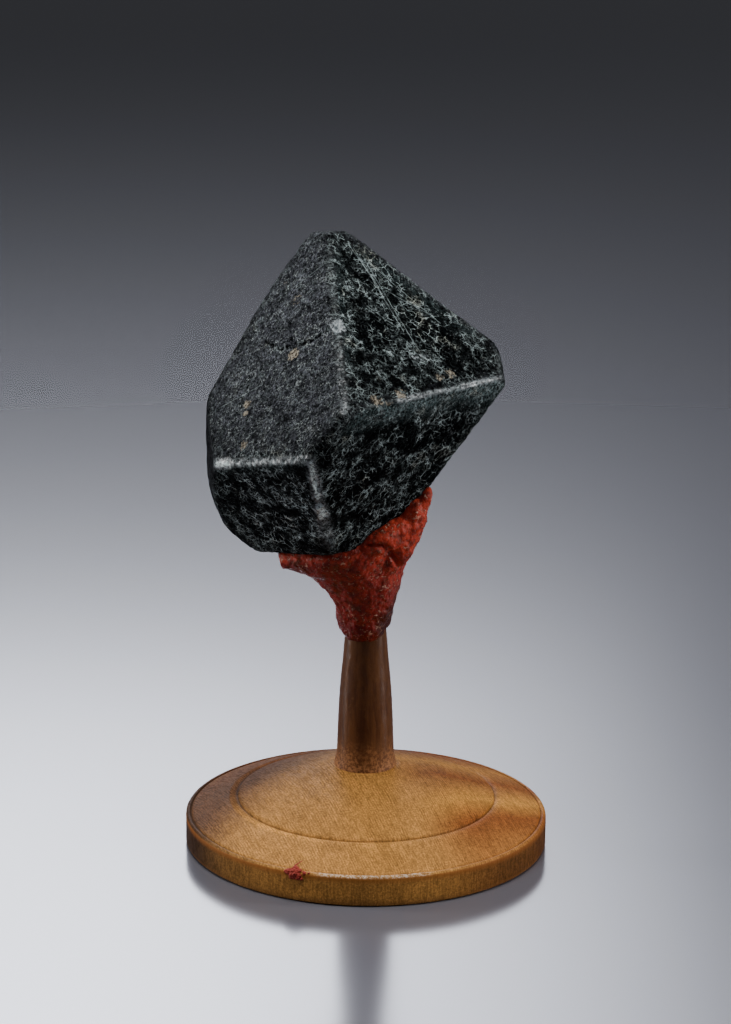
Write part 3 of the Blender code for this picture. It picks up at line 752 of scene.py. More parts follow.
def crystal_tree(sizes):
    """Geometry tree of the crystal: an octahedron's grid moved out to the worn faces."""
    tree, nodes, given, result = new_tree("spinel_crystal", sizes)
    ball = nodes.out("GeometryNodeMeshUVSphere", {"Segments": 4, "Rings": 2, "Radius": 1.0})
    grid = nodes.out("GeometryNodeSubdivideMesh", {"Mesh": ball, "Level": given["Detail"]})
    place, shares, wear = crystal_shape(nodes.out("GeometryNodeInputPosition"), given)
    satin = sum(shares[face] * share for face, share in SATIN_FACES.items())
    for face, neighbour, width, strength in SATIN_STRIPS:
        edge = CRYSTAL_FACES[neighbour][1]
        near = place.dot(face_axes(neighbour)[0]).fade(edge - width, edge, 0.0, strength)
        satin = near * shares[face] + satin
    network = sum(shares[face] * share for face, share in NETWORK_FACES.items())
    lowest = place.parts()[2].fade(-4.0, 8.0, -0.48, 0.0)
    network = lowest * shares["front_upper_right"] + network
    band = wear * 0.15
    for (one, two), (light, narrow) in LIGHT_RIDGES.items():
        both = shares[one] * shares[two] * 4.0
        band = band.at_least(both.fade(narrow, 1.0, 0.0, light))
    growth, step = growth_height(place, shares)
    close, found = nearest_mark(nodes, given["Geometry"], place)
    burnish, polish = rubbed_highlights(place)

    etched = place.warp(0.8, 1.4, 2.0).edges(0.85).fade(0.0, 0.22) * (1.0 - satin).clamped()
    nicked = place.noise(0.75, 3.0, 0.6).fade(0.52, 0.66) * wear
    height = (growth * given["Layer height"] + (place.noise(0.16, 2.0) - 0.5) * 0.40
              + (place.noise(1.7, 3.0, 0.65) - 0.5) * given["Grain"]
              - etched * given["Etch depth"] - nicked * given["Edge chipping"]
              - close * found["depth"])

    # Everything is measured on the octahedron's grid, before its points move
    for name, value in {"band": band, "burnish": burnish, "polish": polish, "step": step,
                        "satin": satin, "network": network, "height": height,
                        "tan": close * found["tan"], "chalk": close * found["chalk"]}.items():
        grid = nodes.out("GeometryNodeStoreNamedAttribute",
                         {"Geometry": grid, "Name": name, "Value": value},
                         data_type="FLOAT", domain="POINT")
    shape = nodes.out("GeometryNodeSetPosition", {"Geometry": grid, "Position": place})
    lift = nodes.out("GeometryNodeInputNormal").ways("SCALE", nodes.carried("height"))
    shape = nodes.out("GeometryNodeSetPosition", {"Geometry": shape, "Offset": lift})
    shape = nodes.out("GeometryNodeTransform",
                      {"Geometry": shape, "Translation": CRYSTAL_CENTRE * MM,
                       "Rotation": CRYSTAL_TURN, "Scale": (MM, MM, MM)})
    shape = nodes.out("GeometryNodeRealizeInstances", {0: shape})
    nodes.feed(result, nodes.out("GeometryNodeSetMaterial",
                                 {"Geometry": shape, "Material": given["Material"]}))
    return tree


def scratch_lines(place):
    """Long straight scratches on the crystal, as a number from 0 to 1."""
    total = 0.0
    for face, start, end, strength in CRYSTAL_SCRATCHES:
        outward, edge = face_axes(face)[0], CRYSTAL_FACES[face][1]
        first, last = on_face(face, *start), on_face(face, *end)
        along = (last - first).normalized()
        offset = place.ways("SUBTRACT", first)
        travel = offset.dot(along / (last - first).length)
        line = abs(offset.dot(along.cross(outward))).fade(0.03, 0.09, strength, 0.0)
        line = line * place.dot(outward).fade(edge - 0.9, edge - 0.6)
        line = line * place.nodes.maths("COMPARE", travel, 0.5, 0.5)
        total = line.at_least(total)
    return total


def crystal_material(sizes):
    """Black stone with a light network, satin faces, worn edges with painted highlights and tan
    grains.
    """
    material, nodes, place = surface("spinel_black")
    back = CRYSTAL_TURN.to_matrix().transposed()
    place = nodes.out("ShaderNodeMapping", {"Vector": place, "Rotation": back.to_euler(),
                                            "Location": -(back @ CRYSTAL_CENTRE)},
                      vector_type="POINT")
    band, burnish, polish, step, satin, network, tan_share, chalk = map(
        nodes.stored, ("band", "burnish", "polish", "step", "satin", "network", "tan", "chalk"))

    # Network of light etch lines: wide cells, finer cells in patches, short dashes and threads
    patches = place.noise(0.20, 2.0).fade(0.38, 0.60)
    broken = place.noise(1.1, 3.0, 0.6).fade(0.40, 0.56, 0.05, 1.0)
    wide = place.warp(1.0, 0.9, 3.0).edges(0.70).fade(0.004, 0.036, 1.0, 0.0)
    fine = place.warp(1.9, 0.6, 3.0).edges(1.35).fade(0.008, 0.056, 1.0, 0.0)
    dashes = place.warp(3.0, 0.4, 2.0).edges(2.3).fade(0.03, 0.15, 1.0, 0.0)
    dashes = dashes * place.noise(2.3, 2.0, 0.6).fade(0.50, 0.62)
    threads = abs(place.noise(0.42, 4.0, 0.60) - 0.5).fade(0.001, 0.008, 1.0, 0.0)
    lines = wide.at_least(fine * (patches * 0.55 + 0.02)).at_least(threads * 0.9) * broken
    lines = lines.at_least(dashes * patches * 0.20)
    lines = lines * place.noise(0.38, 3.0, 0.6).fade(0.40, 0.56, 0.05, 1.0)
    lines = lines * network.at_least(step * 0.9)
    lines = lines.at_least(scratch_lines(place) * (broken * 0.6 + 0.3))
    # Painted shadow: black along the growth steps' edges, a crevice and the shade under each raised
    # layer
    step_shadow = step.fade(0.78, 0.97) * place.noise(1.4, 3.0, 0.7).fade(0.44, 0.54)

    # Fine sparkling dust, and short squiggles on the satin faces
    pick = nodes.out("ShaderNodeSeparateColor", {0: place.cells(2.4, "Color")})
    dust = place.cells(2.4).fade(0.10, 0.32, 1.0, 0.0) * pick.fade(0.60, 1.0)
    dust = dust * (satin.at_least(band * 1.2).clamped() * 0.25 + 0.30)
    curl = abs(place.warp(2.0, 0.5).noise(1.5, 2.0, 0.6) - 0.5).fade(0.004, 0.028, 1.0, 0.0)
    curl = curl * place.noise(1.3, 2.0).fade(0.46, 0.60)
    curl = curl * (patches * 0.50 + 0.32) * (step * 1.6 + satin)

    # Black, satin and worn ground, uneven and lighter towards the top
    grit = place.noise(3.6, 3.0, 0.75).fade(0.38, 0.64)
    grain = place.noise(2.2, 4.0, 0.8).fade(0.40, 0.62)
    worn = (band * (grain * 0.7 + 0.65)).fade(0.08, 0.90)
    sheen = network.fade(0.80, 0.95).tint(sizes.satin, (0.080, 0.112, 0.114))
    ground = worn.tint(satin.tint(sizes.black, sheen), sizes.worn_tone)
    shade = worn.blend((grit * 1.2 + 0.25) * (grain * 2.2 + 0.20), grain * 0.9 + 0.75)
    shade = shade * place.noise(0.50, 4.0, 0.65).fade(0.32, 0.68, 0.45, 1.55)
    shade = shade * place.parts()[2].fade(-12.0, 14.0, 0.70, 1.36)

    # Tones of the lines and of burnished ridges, both partly painted light, and of tan and chalky
    # grains
    warm = place.noise(0.35, 2.0).fade(0.55, 0.72) * 0.5
    # Where the network is above 1, on the lower front faces, the lines are painted paler as painted
    # light
    line_tint = network.fade(1.0, 1.5).tint(warm.tint(sizes.network, (0.42, 0.38, 0.27)),
                                            (0.66, 0.76, 0.78))
    patchy = place.noise(0.75, 3.0, 0.65).fade(0.42, 0.58, 0.35, 1.0)
    # Rubbed ridges: real wear, painted near white as painted highlights
    rub_highlight = burnish * grain.fade(0.1, 0.6, 0.15, 1.0) * burnish.fade(0.80, 0.98).blend(patchy, 1.0)
    rub_highlight_tone = burnish.fade(0.70, 0.95).tint((0.60, 0.65, 0.67), (0.88, 1.0, 0.98))
    ragged = place.noise(2.4, 3.0, 0.7) - 0.5
    tan_edge = (ragged * 2.4 + (tan_share * 1.5 - 0.50)).fade(0.0, 0.30)
    tan_tone = place.noise(2.8, 3.0, 0.7).fade(0.40, 0.60).tint((0.045, 0.033, 0.022),
                                                                (0.37, 0.33, 0.26))
    chalk_edge = (ragged * 2.0 + (chalk * 1.4 - 0.35)).fade(0.0, 0.5)
    chalk_tone = grain.tint((0.16, 0.19, 0.20), (0.58, 0.62, 0.64))
    colour = nodes.dim(ground, shade).painted(
        (curl, (0.40, 0.44, 0.44)), (lines, line_tint), (step_shadow * 0.95, sizes.black),
        (dust, (0.46, 0.50, 0.50)), (rub_highlight, rub_highlight_tone),
        (tan_edge * tan_share.fade(0.0, 0.15), tan_tone),
        (chalk_edge * chalk.fade(0.0, 0.2), chalk_tone))

    rough = satin * 0.16 + 0.22 - worn * 0.06
    rough = rough + place.noise(2.6, 3.0, 0.7).fade(0.35, 0.65, 0.0, 0.20) + lines * 0.20
    shine = polish.at_least(band.fade(0.2, 1.0, 0.0, 0.08)) * patchy
    return dress(material, nodes, {
        "Base Color": colour, "Roughness": rough.clamped(), "IOR": 1.72,
        "Specular IOR Level": 0.006, "Coat Weight": shine * grit.fade(0.1, 0.8, 0.35, 1.0),
        "Coat Roughness": 0.22, "Coat IOR": 2.1},
        grit * 0.7 + lines * 0.35 - place.cells(2.8) * 0.25, 0.05, 0.8)


def between(points, place):
    """Point on a smooth curve through evenly numbered points, held at both ends."""
    index = min(int(place), len(points) - 2)
    share = place - index
    before, start, end, after = (points[min(max(index + step, 0), len(points) - 1)]
                                 for step in (-1, 0, 1, 2))
    return tuple(0.5 * (2.0 * b + (c - a) * share
                        + (2.0 * a - 5.0 * b + 4.0 * c - d) * share ** 2
                        + (3.0 * b - a - 3.0 * c + d) * share ** 3)
                 for a, b, c, d in zip(before, start, end, after))


def wax_ring(place):
    """Closed ring of wax at one stage on the way from the lip up to the crystal."""
    marks = [(bearing + lap, *between(rib, place)) for lap in (-360.0, 0.0, 360.0)
             for bearing, rib in WAX_RIBS]
    ring = []
    for step in range(len(WAX_RIBS) * WAX_SIDES):
        bearing, radius, height = between(marks, len(WAX_RIBS) + step / WAX_SIDES)
        turn = radians(bearing)
        ring.append(Vector((radius * cos(turn), radius * sin(turn), height)))
    return ring


def bridge(shape, rings):
    """Closed skin over rings of the same number of points."""
    loops = [[shape.verts.new(spot) for spot in ring] for ring in rings]
    for lower, upper in zip(loops, loops[1:]):
        for step in range(len(lower)):
            ahead = (step + 1) % len(lower)
            shape.faces.new((lower[step], lower[ahead], upper[ahead], upper[step]))
    shape.faces.new(loops[0])
    shape.faces.new(loops[-1])


def lump(shape, middle, way, length, width, divisions=4):
    """Stretched round lump."""
    made = bmesh.ops.create_icosphere(shape, subdivisions=divisions, radius=width)["verts"]
    turn = Vector((0.0, 0.0, 1.0)).rotation_difference(Vector(way))
    for point in made:
        point.co.z *= length / width
        point.co = turn @ point.co + Vector(middle)


def as_mesh(name, shape, scale=MM):
    """Mesh in metres from a shape in millimetres, its faces outwards."""
    bmesh.ops.recalc_face_normals(shape, faces=shape.faces)
    bmesh.ops.scale(shape, verts=shape.verts, vec=(scale,) * 3)
    mesh = bpy.data.meshes.new(name)
    shape.to_mesh(mesh)
    shape.free()
    return mesh


def fuse(item, voxel):
    """Melt overlapping lumps into one even skin."""
    step = item.modifiers.new("melt", "REMESH")
    step.mode = "VOXEL"
    step.voxel_size = voxel
    return settle(item)


def point_vectors(item, name):
    """Place in metres or outward direction of each point of a piece."""
    numbers = np.empty(len(item.data.vertices) * 3)
    item.data.vertices.foreach_get(name, numbers)
    return numbers.reshape(-1, 3)


def move_to(item, spots):
    """Put the points of a piece at places in millimetres."""
    item.data.vertices.foreach_set("co", (spots * MM).ravel())
    item.data.update()


def to_line(spots, line):
    """Distance of each point from a line of short straight stretches."""
    nearest = np.full(len(spots), 1e9)
    for start, end in zip(np.array(line[:-1]), np.array(line[1:])):
        along = end - start
        share = np.clip((spots - start) @ along / (along @ along), 0.0, 1.0)
        gap = np.linalg.norm(spots - start - share[:, None] * along, axis=1)
        nearest = np.minimum(nearest, gap)
    return nearest


def soft_noise(spots, size, octaves=1):
    """Smooth random number from about -1 to 1 at each point, with bumps of the given size."""
    return np.array([noise.fractal(Vector(spot) / size, 1.0, 2.0, octaves) for spot in spots])


def bump(spots, middle, radius):
    """Soft round bump, from 1 at its middle down to 0."""
    away = np.linalg.norm(spots - np.array(middle), axis=1)
    return np.exp(-(away / radius) ** 2)


def make_wax(settings, crisp, worn):
    """Wax pressed round the stem's top and up against the crystal."""
    shape = bmesh.new()
    last = len(WAX_RIBS[0][1]) - 1
    bridge(shape, [wax_ring(stage / WAX_STAGES) for stage in range(last * WAX_STAGES + 1)])
    for lobe in WAX_LOBES:
        lump(shape, *lobe)
    wax = fuse(link_item("sealing_wax", as_mesh("sealing_wax", shape)), settings.voxel)
    spots, ways = point_vectors(wax, "co") / MM, point_vectors(wax, "normal")

    # Pressed lumps, grain that grows crumbly towards the crystal, crevice, pinhole and crumbs
    lift = settings.lumps * soft_noise(spots, 2.6, 2)
    lift += settings.grain * soft_noise(spots, 0.75, 3)
    crumble = np.clip((spots[:, 2] - 40.0) / 6.0, 0.3, 1.0)
    lift += 0.10 * crumble * np.abs(soft_noise(spots + 40.0, 0.42, 2))
    lift -= 0.85 * np.exp(-(to_line(spots, WAX_CREVICE) / 0.34) ** 2)
    lift -= 0.55 * bump(spots, WAX_PINHOLE, 0.26)
    for middle, radius in WAX_CRUMBS:
        lift += 0.6 * radius * bump(spots, middle, radius)
    spots += ways * lift[:, None]

    # Broken edge on the left, and the skin that lies just inside the crystal's surface
    cut = WAX_EDGE + WAX_EDGE_SLOPE * (WAX_EDGE_HEIGHT - spots[:, 2])
    cut += 0.12 * soft_noise(spots, 0.8)
    spots[:, 0] = np.maximum(spots[:, 0], cut)
    depth = crystal_depth(spots, crisp, worn)
    inside = depth < WAX_DEPTH
    centre = np.array(CRYSTAL_CENTRE)
    scale = WAX_DEPTH / depth[inside]
    spots[inside] = centre + (spots[inside] - centre) * scale[:, None]
    move_to(wax, spots)
    contact = np.clip(1.0 - (depth - WAX_DEPTH) * REACH_UNIT / CONTACT_REACH, 0.0, 1.0)
    wax.data.attributes.new("contact", "FLOAT", "POINT").data.foreach_set("value", contact)
    return wax


def turned(profile, segments, tilt=0.0, pivot=0.0, ripple=0.0):
    """Closed turned shape from radius and height points that start and end on the axis."""
    shape = bmesh.new()
    lean = Matrix.Rotation(tilt, 3, "Y")
    loops = []
    for radius, height in profile:
        if radius == 0.0:
            spots = [Vector((0.0, 0.0, height))]
        else:
            spots = []
            for step in range(segments):
                turn = 2.0 * pi * step / segments
                spot = Vector((cos(turn), sin(turn), 0.0))
                wander = ripple * noise.noise(spot * 6.0 + Vector((radius, height, 0.0)))
                spots.append(spot * (radius + wander) + Vector((0.0, 0.0, height)))
        foot = Vector((0.0, 0.0, pivot))
        loops.append([shape.verts.new(lean @ (spot - foot) + foot) for spot in spots])
    for lower, upper in zip(loops, loops[1:]):
        for step in range(segments):
            ahead = (step + 1) % segments
            corners = [lower[step % len(lower)], lower[ahead % len(lower)],
                       upper[ahead % len(upper)], upper[step % len(upper)]]
            shape.faces.new(dict.fromkeys(corners))
    return shape


def finer(profile, step):
    """Profile with extra points, so that no stretch is longer than a step."""
    points = [profile[0]]
    for start, end in zip(profile, profile[1:]):
        length = ((end[0] - start[0]) ** 2 + (end[1] - start[1]) ** 2) ** 0.5
        count = max(1, round(length / step))
        for number in range(1, count + 1):
            share = number / count
            points.append(tuple(a + (b - a) * share for a, b in zip(start, end)))
    return points


def base_material(settings):
    """Light turned wood: wide bands of darker figure, fine pores, worn varnish, painted light and
    shade.
    """
    material, nodes, place = surface("pedestal_wood")
    x, y, height = place.parts()
    radius = place.ways("MULTIPLY", (1.0, 1.0, 0.0)).ways("LENGTH")
    bent = place.warp(0.055, 7.0, 2.0).warp(0.4, 0.9, 2.0)
    gold, rust = settings.gold, settings.rust
    honey = [0.5 * (a + b) for a, b in zip(settings.tan, rust)]
    stripes = (bent.dot((0.66, -0.75, 0.35)) / 44.0 + 0.40).ramp((
        (0.0, rust), (0.30, rust), (0.42, honey), (0.50, gold), (0.56, honey), (0.64, rust),
        (0.70, honey), (0.78, gold), (0.86, rust), (1.0, honey)))
    right = bent.dot((0.90, 0.35, 0.0)).fade(0.0, 10.0)
    # Umber to the left is dark figure and partly painted shade; rust mixed in towards the back is
    # painted shade
    left = bent.dot((-0.80, 0.62, -0.2)).fade(2.5, 15.0)
    colour = right.tint(settings.tan, stripes).painted(
        (left * 0.94, settings.umber), (y.fade(2.0, 20.0, 0.0, 0.6), rust))

    # Fine slanting pores, a speckle and faint turning rings
    loose = place.warp(0.3, 0.25)
    pores = nodes.out("ShaderNodeCombineXYZ", enumerate((
        loose.dot((0.94, 0.34, 0.0)), loose.dot((-0.34 * 0.12, 0.94 * 0.12, 0.0)),
        height * 0.10)))
    lines = pores.noise(4.6, 2.0, 0.6)
    dark = lines.fade(0.40, 0.56, 1.0, 0.0)
    phase = place.noise(0.6, 2.0) * 5.0 + pores.dot((2.0 * pi / 0.34, 0.0, 0.0))
    comb = phase.sine() * place.noise(0.35, 2.0).fade(0.40, 0.60, 0.3, 1.0)
    speckle = place.noise(3.4, 3.0, 0.75)
    rings = nodes.out("ShaderNodeCombineXYZ", {0: radius}).noise(2.2, 3.0, 0.7)
    side = radius.fade(BASE_RADIUS - 0.12, BASE_RADIUS - 0.03) * height.fade(4.2, 4.0)
    on_top = 1.0 - side
    tone = dark * -0.27 + 1.11 + (pores.noise(0.7, 2.0) - 0.5) * on_top * 0.5
    tone = tone + comb * on_top * 0.17 + (rings - 0.5) * 0.22
    tone = tone * speckle.fade(0.34, 0.66, 0.68, 1.30)
    tone = tone * place.noise(0.5, 3.0, 0.6).fade(0.30, 0.70, 0.88, 1.10)

    # Painted shade on the rim's side, darker at its ends where it turns from the light, and in the
    # groove; a darker outer beaded edge on the left; a painted highlight on a light lip by the
    # groove
    tone = tone * (1.0 - side * abs(x).fade(7.0, 21.0, 0.11, 0.56))
    outer = radius.fade(24.1, 24.4) * on_top * x.fade(-9.0, -20.0, 0.0, -0.42)
    groove = abs(radius - (GROOVE_RADIUS + 0.04)).fade(0.04, 0.17, 1.0, 0.0)
    lip = abs(radius - (GROOVE_RADIUS + 0.75)).fade(0.25, 0.60, 1.0, 0.0)
    lip = lip * x.fade(-2.0, -14.0, 0.08, 0.32)
    tone = tone * (outer + 1.0) * (1.0 - groove * 0.45) * (lip + 1.0)
    bead_highlight = radius.fade(24.25, 24.45) * height.fade(3.95, 4.15) * y.fade(-16.0, -22.0)
    bead_highlight = bead_highlight * abs(x - 1.0).fade(5.6, 8.6, 1.0, 0.0) * speckle.fade(0.46, 0.58, 0.05, 1.0)
    # Painted shade in the fine groove at the beaded edge, and a painted highlight dotted along its
    # front
    colour = nodes.dim(colour, tone).painted(
        (side * height.fade(3.1, 3.9) * 0.70, (0.34, 0.110, 0.022)),
        (side * height.fade(0.9, 0.2) * 0.5, (0.34, 0.140, 0.040)),
        (abs(radius - BEAD_RADIUS).fade(0.03, 0.13, 0.45, 0.0), (0.06, 0.028, 0.012)),
        (bead_highlight * 0.55, (0.84, 0.76, 0.64)))
    rough = dark * 0.12 + 0.46 + place.noise(0.9, 3.0) * 0.16 + lip
    return dress(material, nodes, {
        "Base Color": colour, "Roughness": rough.clamped(), "Specular IOR Level": 0.10,
        "Coat Weight": bead_highlight * 0.6, "Coat Roughness": 0.22},
        lines * 0.7 + speckle * 0.5 + rings * 0.3, 0.06, 0.8)


def stem_material(settings):
    """Dark stained wood with upright streaks and a lighter worn foot."""
    material, nodes, place = surface("stem_wood")
    height = place.parts()[2]
    streaks = place.warp(0.25, 1.0).ways("MULTIPLY", (1.0, 1.0, 0.09)).noise(1.5, 4.0, 0.65)
    mottle = place.noise(1.1, 4.0, 0.7)
    foot = (mottle * 5.0 + height).fade(13.0, 19.0, 1.0, 0.0)
    foot_tone = place.noise(2.4, 3.0, 0.7).fade(0.38, 0.62).tint((0.190, 0.072, 0.028),
                                                                 (0.56, 0.250, 0.098))
    colour = streaks.fade(0.30, 0.72).tint(settings.stain, (0.165, 0.064, 0.021)).painted(
        (mottle.fade(0.54, 0.74, 0.0, 0.50), (0.21, 0.095, 0.038)), (foot * 0.85, foot_tone))
    rings = place.ways("MULTIPLY", (0.05, 0.05, 1.0)).noise(3.5, 3.0, 0.7)
    return dress(material, nodes, {
        "Base Color": colour, "Specular IOR Level": 0.18,
        "Roughness": mottle.fade(0.3, 0.7, 0.30, 0.48) + foot * 0.12,
        "Coat Weight": height.fade(17.0, 24.0) * mottle.fade(0.38, 0.60, 0.24, 0.04),
        "Coat Roughness": 0.36},
        streaks * 0.7 + rings * 0.35 + place.noise(4.5, 2.0) * 0.25, 0.08, 0.7)


def wax_material(settings):
    """Rough old sealing wax, bright where broken, painted light up and to the right, wine red lower
    down.
    """
    material, nodes, place = surface("wax_red")
    x, _, height = place.parts()
    cloud = place.noise(0.30, 3.0, 0.6)
    on_rim = height.fade(12.0, 9.0)
    off_rim = 1.0 - on_rim
    contact = nodes.stored("contact").fade(0.05, 0.60)
    contact = contact * place.noise(0.45, 2.0).fade(0.36, 0.56, 0.45, 1.0)
    # Painted light: brighter red towards the top and the right, over the fresh broken wax by the
    # crystal
    fresh_and_lit = ((cloud - 0.5) * 14.0 + (height * 0.9 + x * 0.8)).fade(34.0, 45.0)
    fresh_and_lit = fresh_and_lit.at_least(on_rim).at_least(contact)
    dull = place.noise(1.0, 4.0, 0.66).fade(0.44, 0.60, 0.0, 0.66) * off_rim
    brown = place.noise(0.5, 3.0, 0.6).fade(0.56, 0.70) * off_rim
    drip = height.fade(33.8, 32.0) * x.fade(0.6, -0.6)
    lip = x * 1.2 + (cloud * 3.0 - 1.5)
    thin = (height - lip).fade(33.5, 30.5) * x.fade(0.4, 1.8)
    grain = place.noise(2.1, 3.0, 0.70)
    # Painted glints: short pale orange flecks stand in for highlights, and are also glossier and
    # raised
    glint_fleck = place.warp(2.2, 0.5, 2.0).edges(1.5).fade(0.03, 0.12, 1.0, 0.0) * off_rim
    glint_fleck = glint_fleck * place.noise(2.0, 2.0, 0.6).fade(0.55, 0.63)
    glint_fleck = glint_fleck * cloud.fade(0.42, 0.58, 0.15, 1.0) * drip.fade(0.0, 1.0, 1.0, 0.35)
    colour = fresh_and_lit.tint(settings.wine, settings.bright).painted(
        (dull, [0.30 * channel for channel in settings.wine]),
        (brown * 0.6, (0.15, 0.050, 0.020)), (drip * 0.8, (0.14, 0.003, 0.002)),
        (thin * 0.85, (0.030, 0.008, 0.004)),
        (grain.fade(0.55, 0.68, 0.0, 0.30), fresh_and_lit.tint((0.40, 0.050, 0.026),
                                                       (0.82, 0.130, 0.045))),
        (grain.fade(0.43, 0.34, 0.0, 0.30), (0.035, 0.006, 0.004)),
        (glint_fleck * 0.80, (0.84, 0.48, 0.33)))
    rough = place.noise(1.6, 2.0, 0.7).fade(0.38, 0.58, 0.12, 0.42)
    rough = rough - drip * 0.15 - glint_fleck * 0.25
    return dress(material, nodes, {
        "Base Color": colour, "Specular IOR Level": 0.20, "Roughness": rough.clamped()},
        place.cells(1.7) * 0.50 + grain + glint_fleck * 0.30, 0.17)


def floor_material(settings):
    """Plain pale floor, a little glossy."""
    material, nodes, place = surface("pale_floor")
    tone = place.noise(0.004, 2.0).fade(0.3, 0.7, 0.98, 1.02)
    return dress(material, nodes, {
        "Base Color": nodes.dim(settings.floor, tone), "Roughness": 0.17, "IOR": 1.7,
        "Specular IOR Level": 0.75})


def soft_box(name, spot, aim, size, power, spread, colour):
    """Rectangular studio light that points at a place, its beam spread in degrees."""
    light = bpy.data.lights.new(name, "AREA")
    light.shape = "RECTANGLE"
    light.size, light.size_y = size
    light.energy = power
    light.spread = radians(spread)
    light.color = colour
    item = link_item(name, light)
    item.location = spot
    item.rotation_euler = (Vector(aim) - Vector(spot)).to_track_quat("-Z", "Y").to_euler()


def camera_pose():
    """Where the camera stands and how it is turned, as a matrix."""
    forward = Vector((0.0, cos(CAMERA_PITCH), -sin(CAMERA_PITCH)))
    right = Vector((1.0, 0.0, 0.0))
    upward = right.cross(forward)
    turned_right = right * cos(CAMERA_ROLL) + upward * sin(CAMERA_ROLL)
    turned_up = upward * cos(CAMERA_ROLL) - right * sin(CAMERA_ROLL)
    pose = Matrix((turned_right, turned_up, -forward)).transposed().to_4x4()
    pose.translation = CAMERA_AIM - forward * CAMERA_DISTANCE
    return pose


class SPECIMEN_OT_crystal(Operator):
    """Grow the black crystal."""

    bl_idname = "specimen.crystal"
    bl_label = "Crystal"

    def execute(self, context):
        settings = context.scene.specimen_crystal
        sizes = {face: distance for face, (_, distance) in CRYSTAL_FACES.items()}
        sizes.update({"Crisp edges": settings.crisp, "Worn edges": settings.worn,
                      "Layer height": settings.layer, "Etch depth": settings.etch,
                      "Grain": settings.grain, "Edge chipping": settings.chipping,
                      "Detail": settings.detail, "Material": crystal_material(settings)})
        crystal = link_item("spinel_crystal", crystal_marks())
        set_sizes(crystal, crystal_tree(sizes), sizes)
        finish_piece(settle(crystal), "crystal", sizes["Material"])
        return {"FINISHED"}


class SPECIMEN_OT_wax(Operator):
    """Press the sealing wax between crystal and stem."""

    bl_idname = "specimen.wax"
    bl_label = "Wax"

    def execute(self, context):
        settings = context.scene.specimen_wax
        crystal = context.scene.specimen_crystal
        wax = make_wax(settings, crystal.crisp, crystal.worn)
        finish_piece(wax, "wax", wax_material(settings))
        return {"FINISHED"}


class SPECIMEN_OT_dab(Operator):
    """Drop the small dab of wax on the rim."""

    bl_idname = "specimen.dab"
    bl_label = "Dab of Wax"

    def execute(self, context):
        out = Vector((cos(DAB_BEARING), sin(DAB_BEARING), 0.0))
        along = Vector((-out.y, out.x, 0.0))
        upright = Vector((0.0, 0.0, 1.0))
        middle = out * (BASE_RADIUS - DAB_INSET) + upright * DAB_HEIGHT

        def placed(offset):
            return middle + along * offset[0] + out * offset[1] + upright * offset[2]

        shape = bmesh.new()
        for offset, size in DAB_LUMPS:
            lump(shape, placed(offset), out, size, size, 3)
        dab = fuse(link_item("rim_wax_dab", as_mesh("rim_wax_dab", shape)), DAB_VOXEL)
        spots = point_vectors(dab, "co") / MM
        lift = 0.16 * soft_noise(spots, 0.34, 2) + 0.09 * soft_noise(spots, 0.17, 1)
        move_to(dab, spots + point_vectors(dab, "normal") * lift[:, None])

        strand = bmesh.new()
        strand.from_mesh(dab.data)
        bmesh.ops.scale(strand, verts=strand.verts, vec=(1.0 / MM,) * 3)
        turns = [2.0 * pi * side / STRAND_SIDES for side in range(STRAND_SIDES)]
        rings = []
        for step in range(STRAND_RINGS + 1):
            spot = placed(between(DAB_STRAND, 3.0 * step / STRAND_RINGS))
            width = STRAND_WIDTH - STRAND_TAPER * step / STRAND_RINGS
            rings.append([spot + (along * cos(turn) + upright * sin(turn)) * width
                          for turn in turns])
        bridge(strand, rings)
        dab.data = as_mesh("rim_wax_dab", strand)
        finish_piece(dab, "wax_dab", bpy.data.materials.get("wax_red"))
        return {"FINISHED"}


class SPECIMEN_OT_stem(Operator):
    """Turn the stem."""

    bl_idname = "specimen.stem"
    bl_label = "Stem"

    def execute(self, context):
        shape = turned(finer(STEM_PROFILE, STEM_STEP), STEM_SEGMENTS, STEM_LEAN, STEM_FOOT,
                       STEM_RIPPLE)
        bmesh.ops.translate(shape, verts=shape.verts, vec=(STEM_SHIFT, 0.0, 0.0))
        stem = link_item("turned_stem", as_mesh("turned_stem", shape))
        finish_piece(stem, "stem", stem_material(context.scene.specimen_wood))
        stem.data.set_sharp_from_angle(angle=SHARP_ANGLE)
        return {"FINISHED"}


class SPECIMEN_OT_base(Operator):
    """Turn the base."""

    bl_idname = "specimen.base"
    bl_label = "Base"

    def execute(self, context):
        settings = context.scene.specimen_wood
        shape = turned(finer(BASE_PROFILE, BASE_STEP), settings.segments, ripple=BASE_RIPPLE)
        base = link_item("turned_base", as_mesh("turned_base", shape))
        finish_piece(base, "base", base_material(settings))
        base.data.set_sharp_from_angle(angle=SHARP_ANGLE)
        return {"FINISHED"}


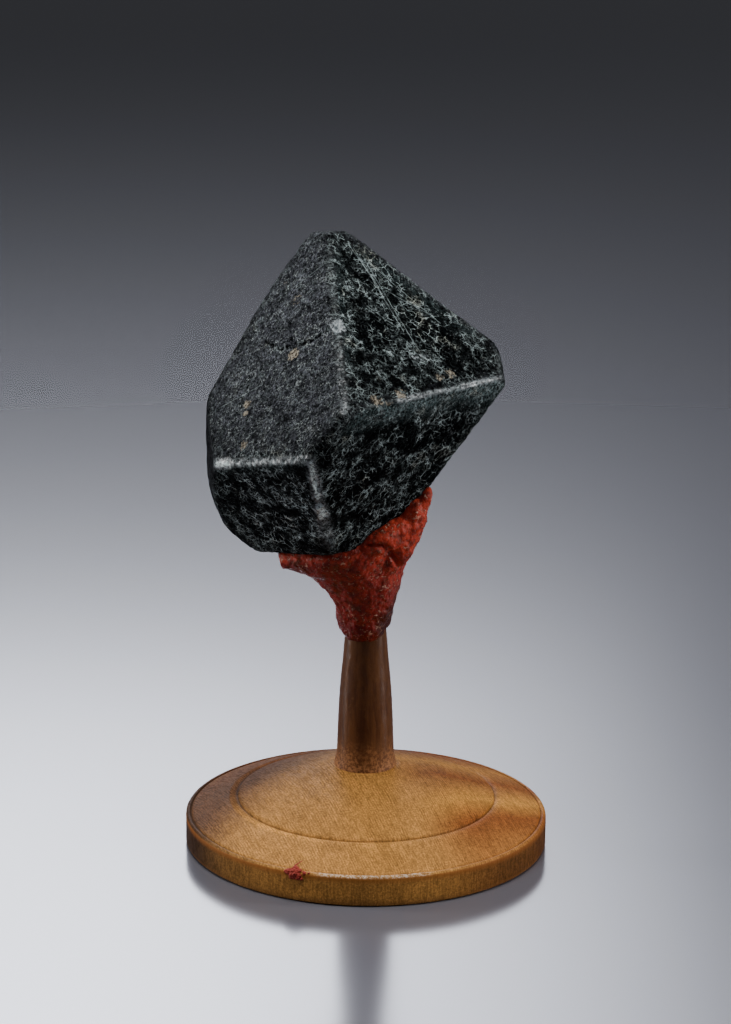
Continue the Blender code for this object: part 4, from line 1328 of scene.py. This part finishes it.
class SPECIMEN_OT_stage(Operator):
    """Set the floor, the lights and the camera."""

    bl_idname = "specimen.stage"
    bl_label = "Stage"

    def execute(self, context):
        settings = context.scene.specimen_stage
        shape = bmesh.new()
        bmesh.ops.create_grid(shape, x_segments=8, y_segments=8, size=FLOOR_REACH)
        floor = link_item("floor", as_mesh("floor", shape, 1.0))
        floor.location.z = FLOOR_DROP
        floor.data.materials.append(floor_material(settings))
        for name, (spot, aim, size, power, spread, colour) in SOFT_BOXES.items():
            soft_box(name, spot, aim, size, getattr(settings, power), spread, colour)
        world = bpy.data.worlds.new("studio")
        world.use_nodes = True
        colour, strength = world.node_tree.nodes["Background"].inputs[:2]
        colour.default_value, strength.default_value = WORLD_COLOUR, WORLD_STRENGTH
        context.scene.world = world
        lens = bpy.data.cameras.new("camera")
        lens.lens = settings.lens
        lens.sensor_width = SENSOR_WIDTH
        lens.clip_start = NEAREST_SEEN
        camera = link_item("camera", lens)
        camera.matrix_world = camera_pose()
        context.scene.camera = camera
        return {"FINISHED"}


class SPECIMEN_PT_panel(Panel):
    """Steps that build the specimen."""

    bl_idname = "SPECIMEN_PT_panel"
    bl_label = "Spinel Specimen"
    bl_space_type = "VIEW_3D"
    bl_region_type = "UI"
    bl_category = "Specimen"

    def draw(self, context):
        for operator in OPERATORS:
            self.layout.operator(operator.bl_idname)
        for group in SETTINGS:
            box = self.layout.box()
            settings = getattr(context.scene, group)
            for name in settings.bl_rna.properties.keys():
                if name not in ("rna_type", "name"):
                    box.prop(settings, name)


OPERATORS = (SPECIMEN_OT_stage, SPECIMEN_OT_base, SPECIMEN_OT_stem, SPECIMEN_OT_wax,
             SPECIMEN_OT_dab, SPECIMEN_OT_crystal)
SETTINGS = {"specimen_crystal": CrystalSettings, "specimen_wax": WaxSettings,
            "specimen_wood": WoodSettings, "specimen_stage": StageSettings}


def register():
    """Make the settings, steps and panel known."""
    for kind in (*SETTINGS.values(), *OPERATORS, SPECIMEN_PT_panel):
        bpy.utils.register_class(kind)
    for name, kind in SETTINGS.items():
        setattr(bpy.types.Scene, name, PointerProperty(type=kind))


def unregister():
    """Remove the settings, steps and panel again."""
    for name in SETTINGS:
        delattr(bpy.types.Scene, name)
    for kind in (SPECIMEN_PT_panel, *reversed(OPERATORS), *SETTINGS.values()):
        bpy.utils.unregister_class(kind)


def main():
    """Build the specimen."""
    register()
    for operator in OPERATORS:
        group, step = operator.bl_idname.split(".")
        getattr(getattr(bpy.ops, group), step)()


if __name__ == "__main__":
    main()
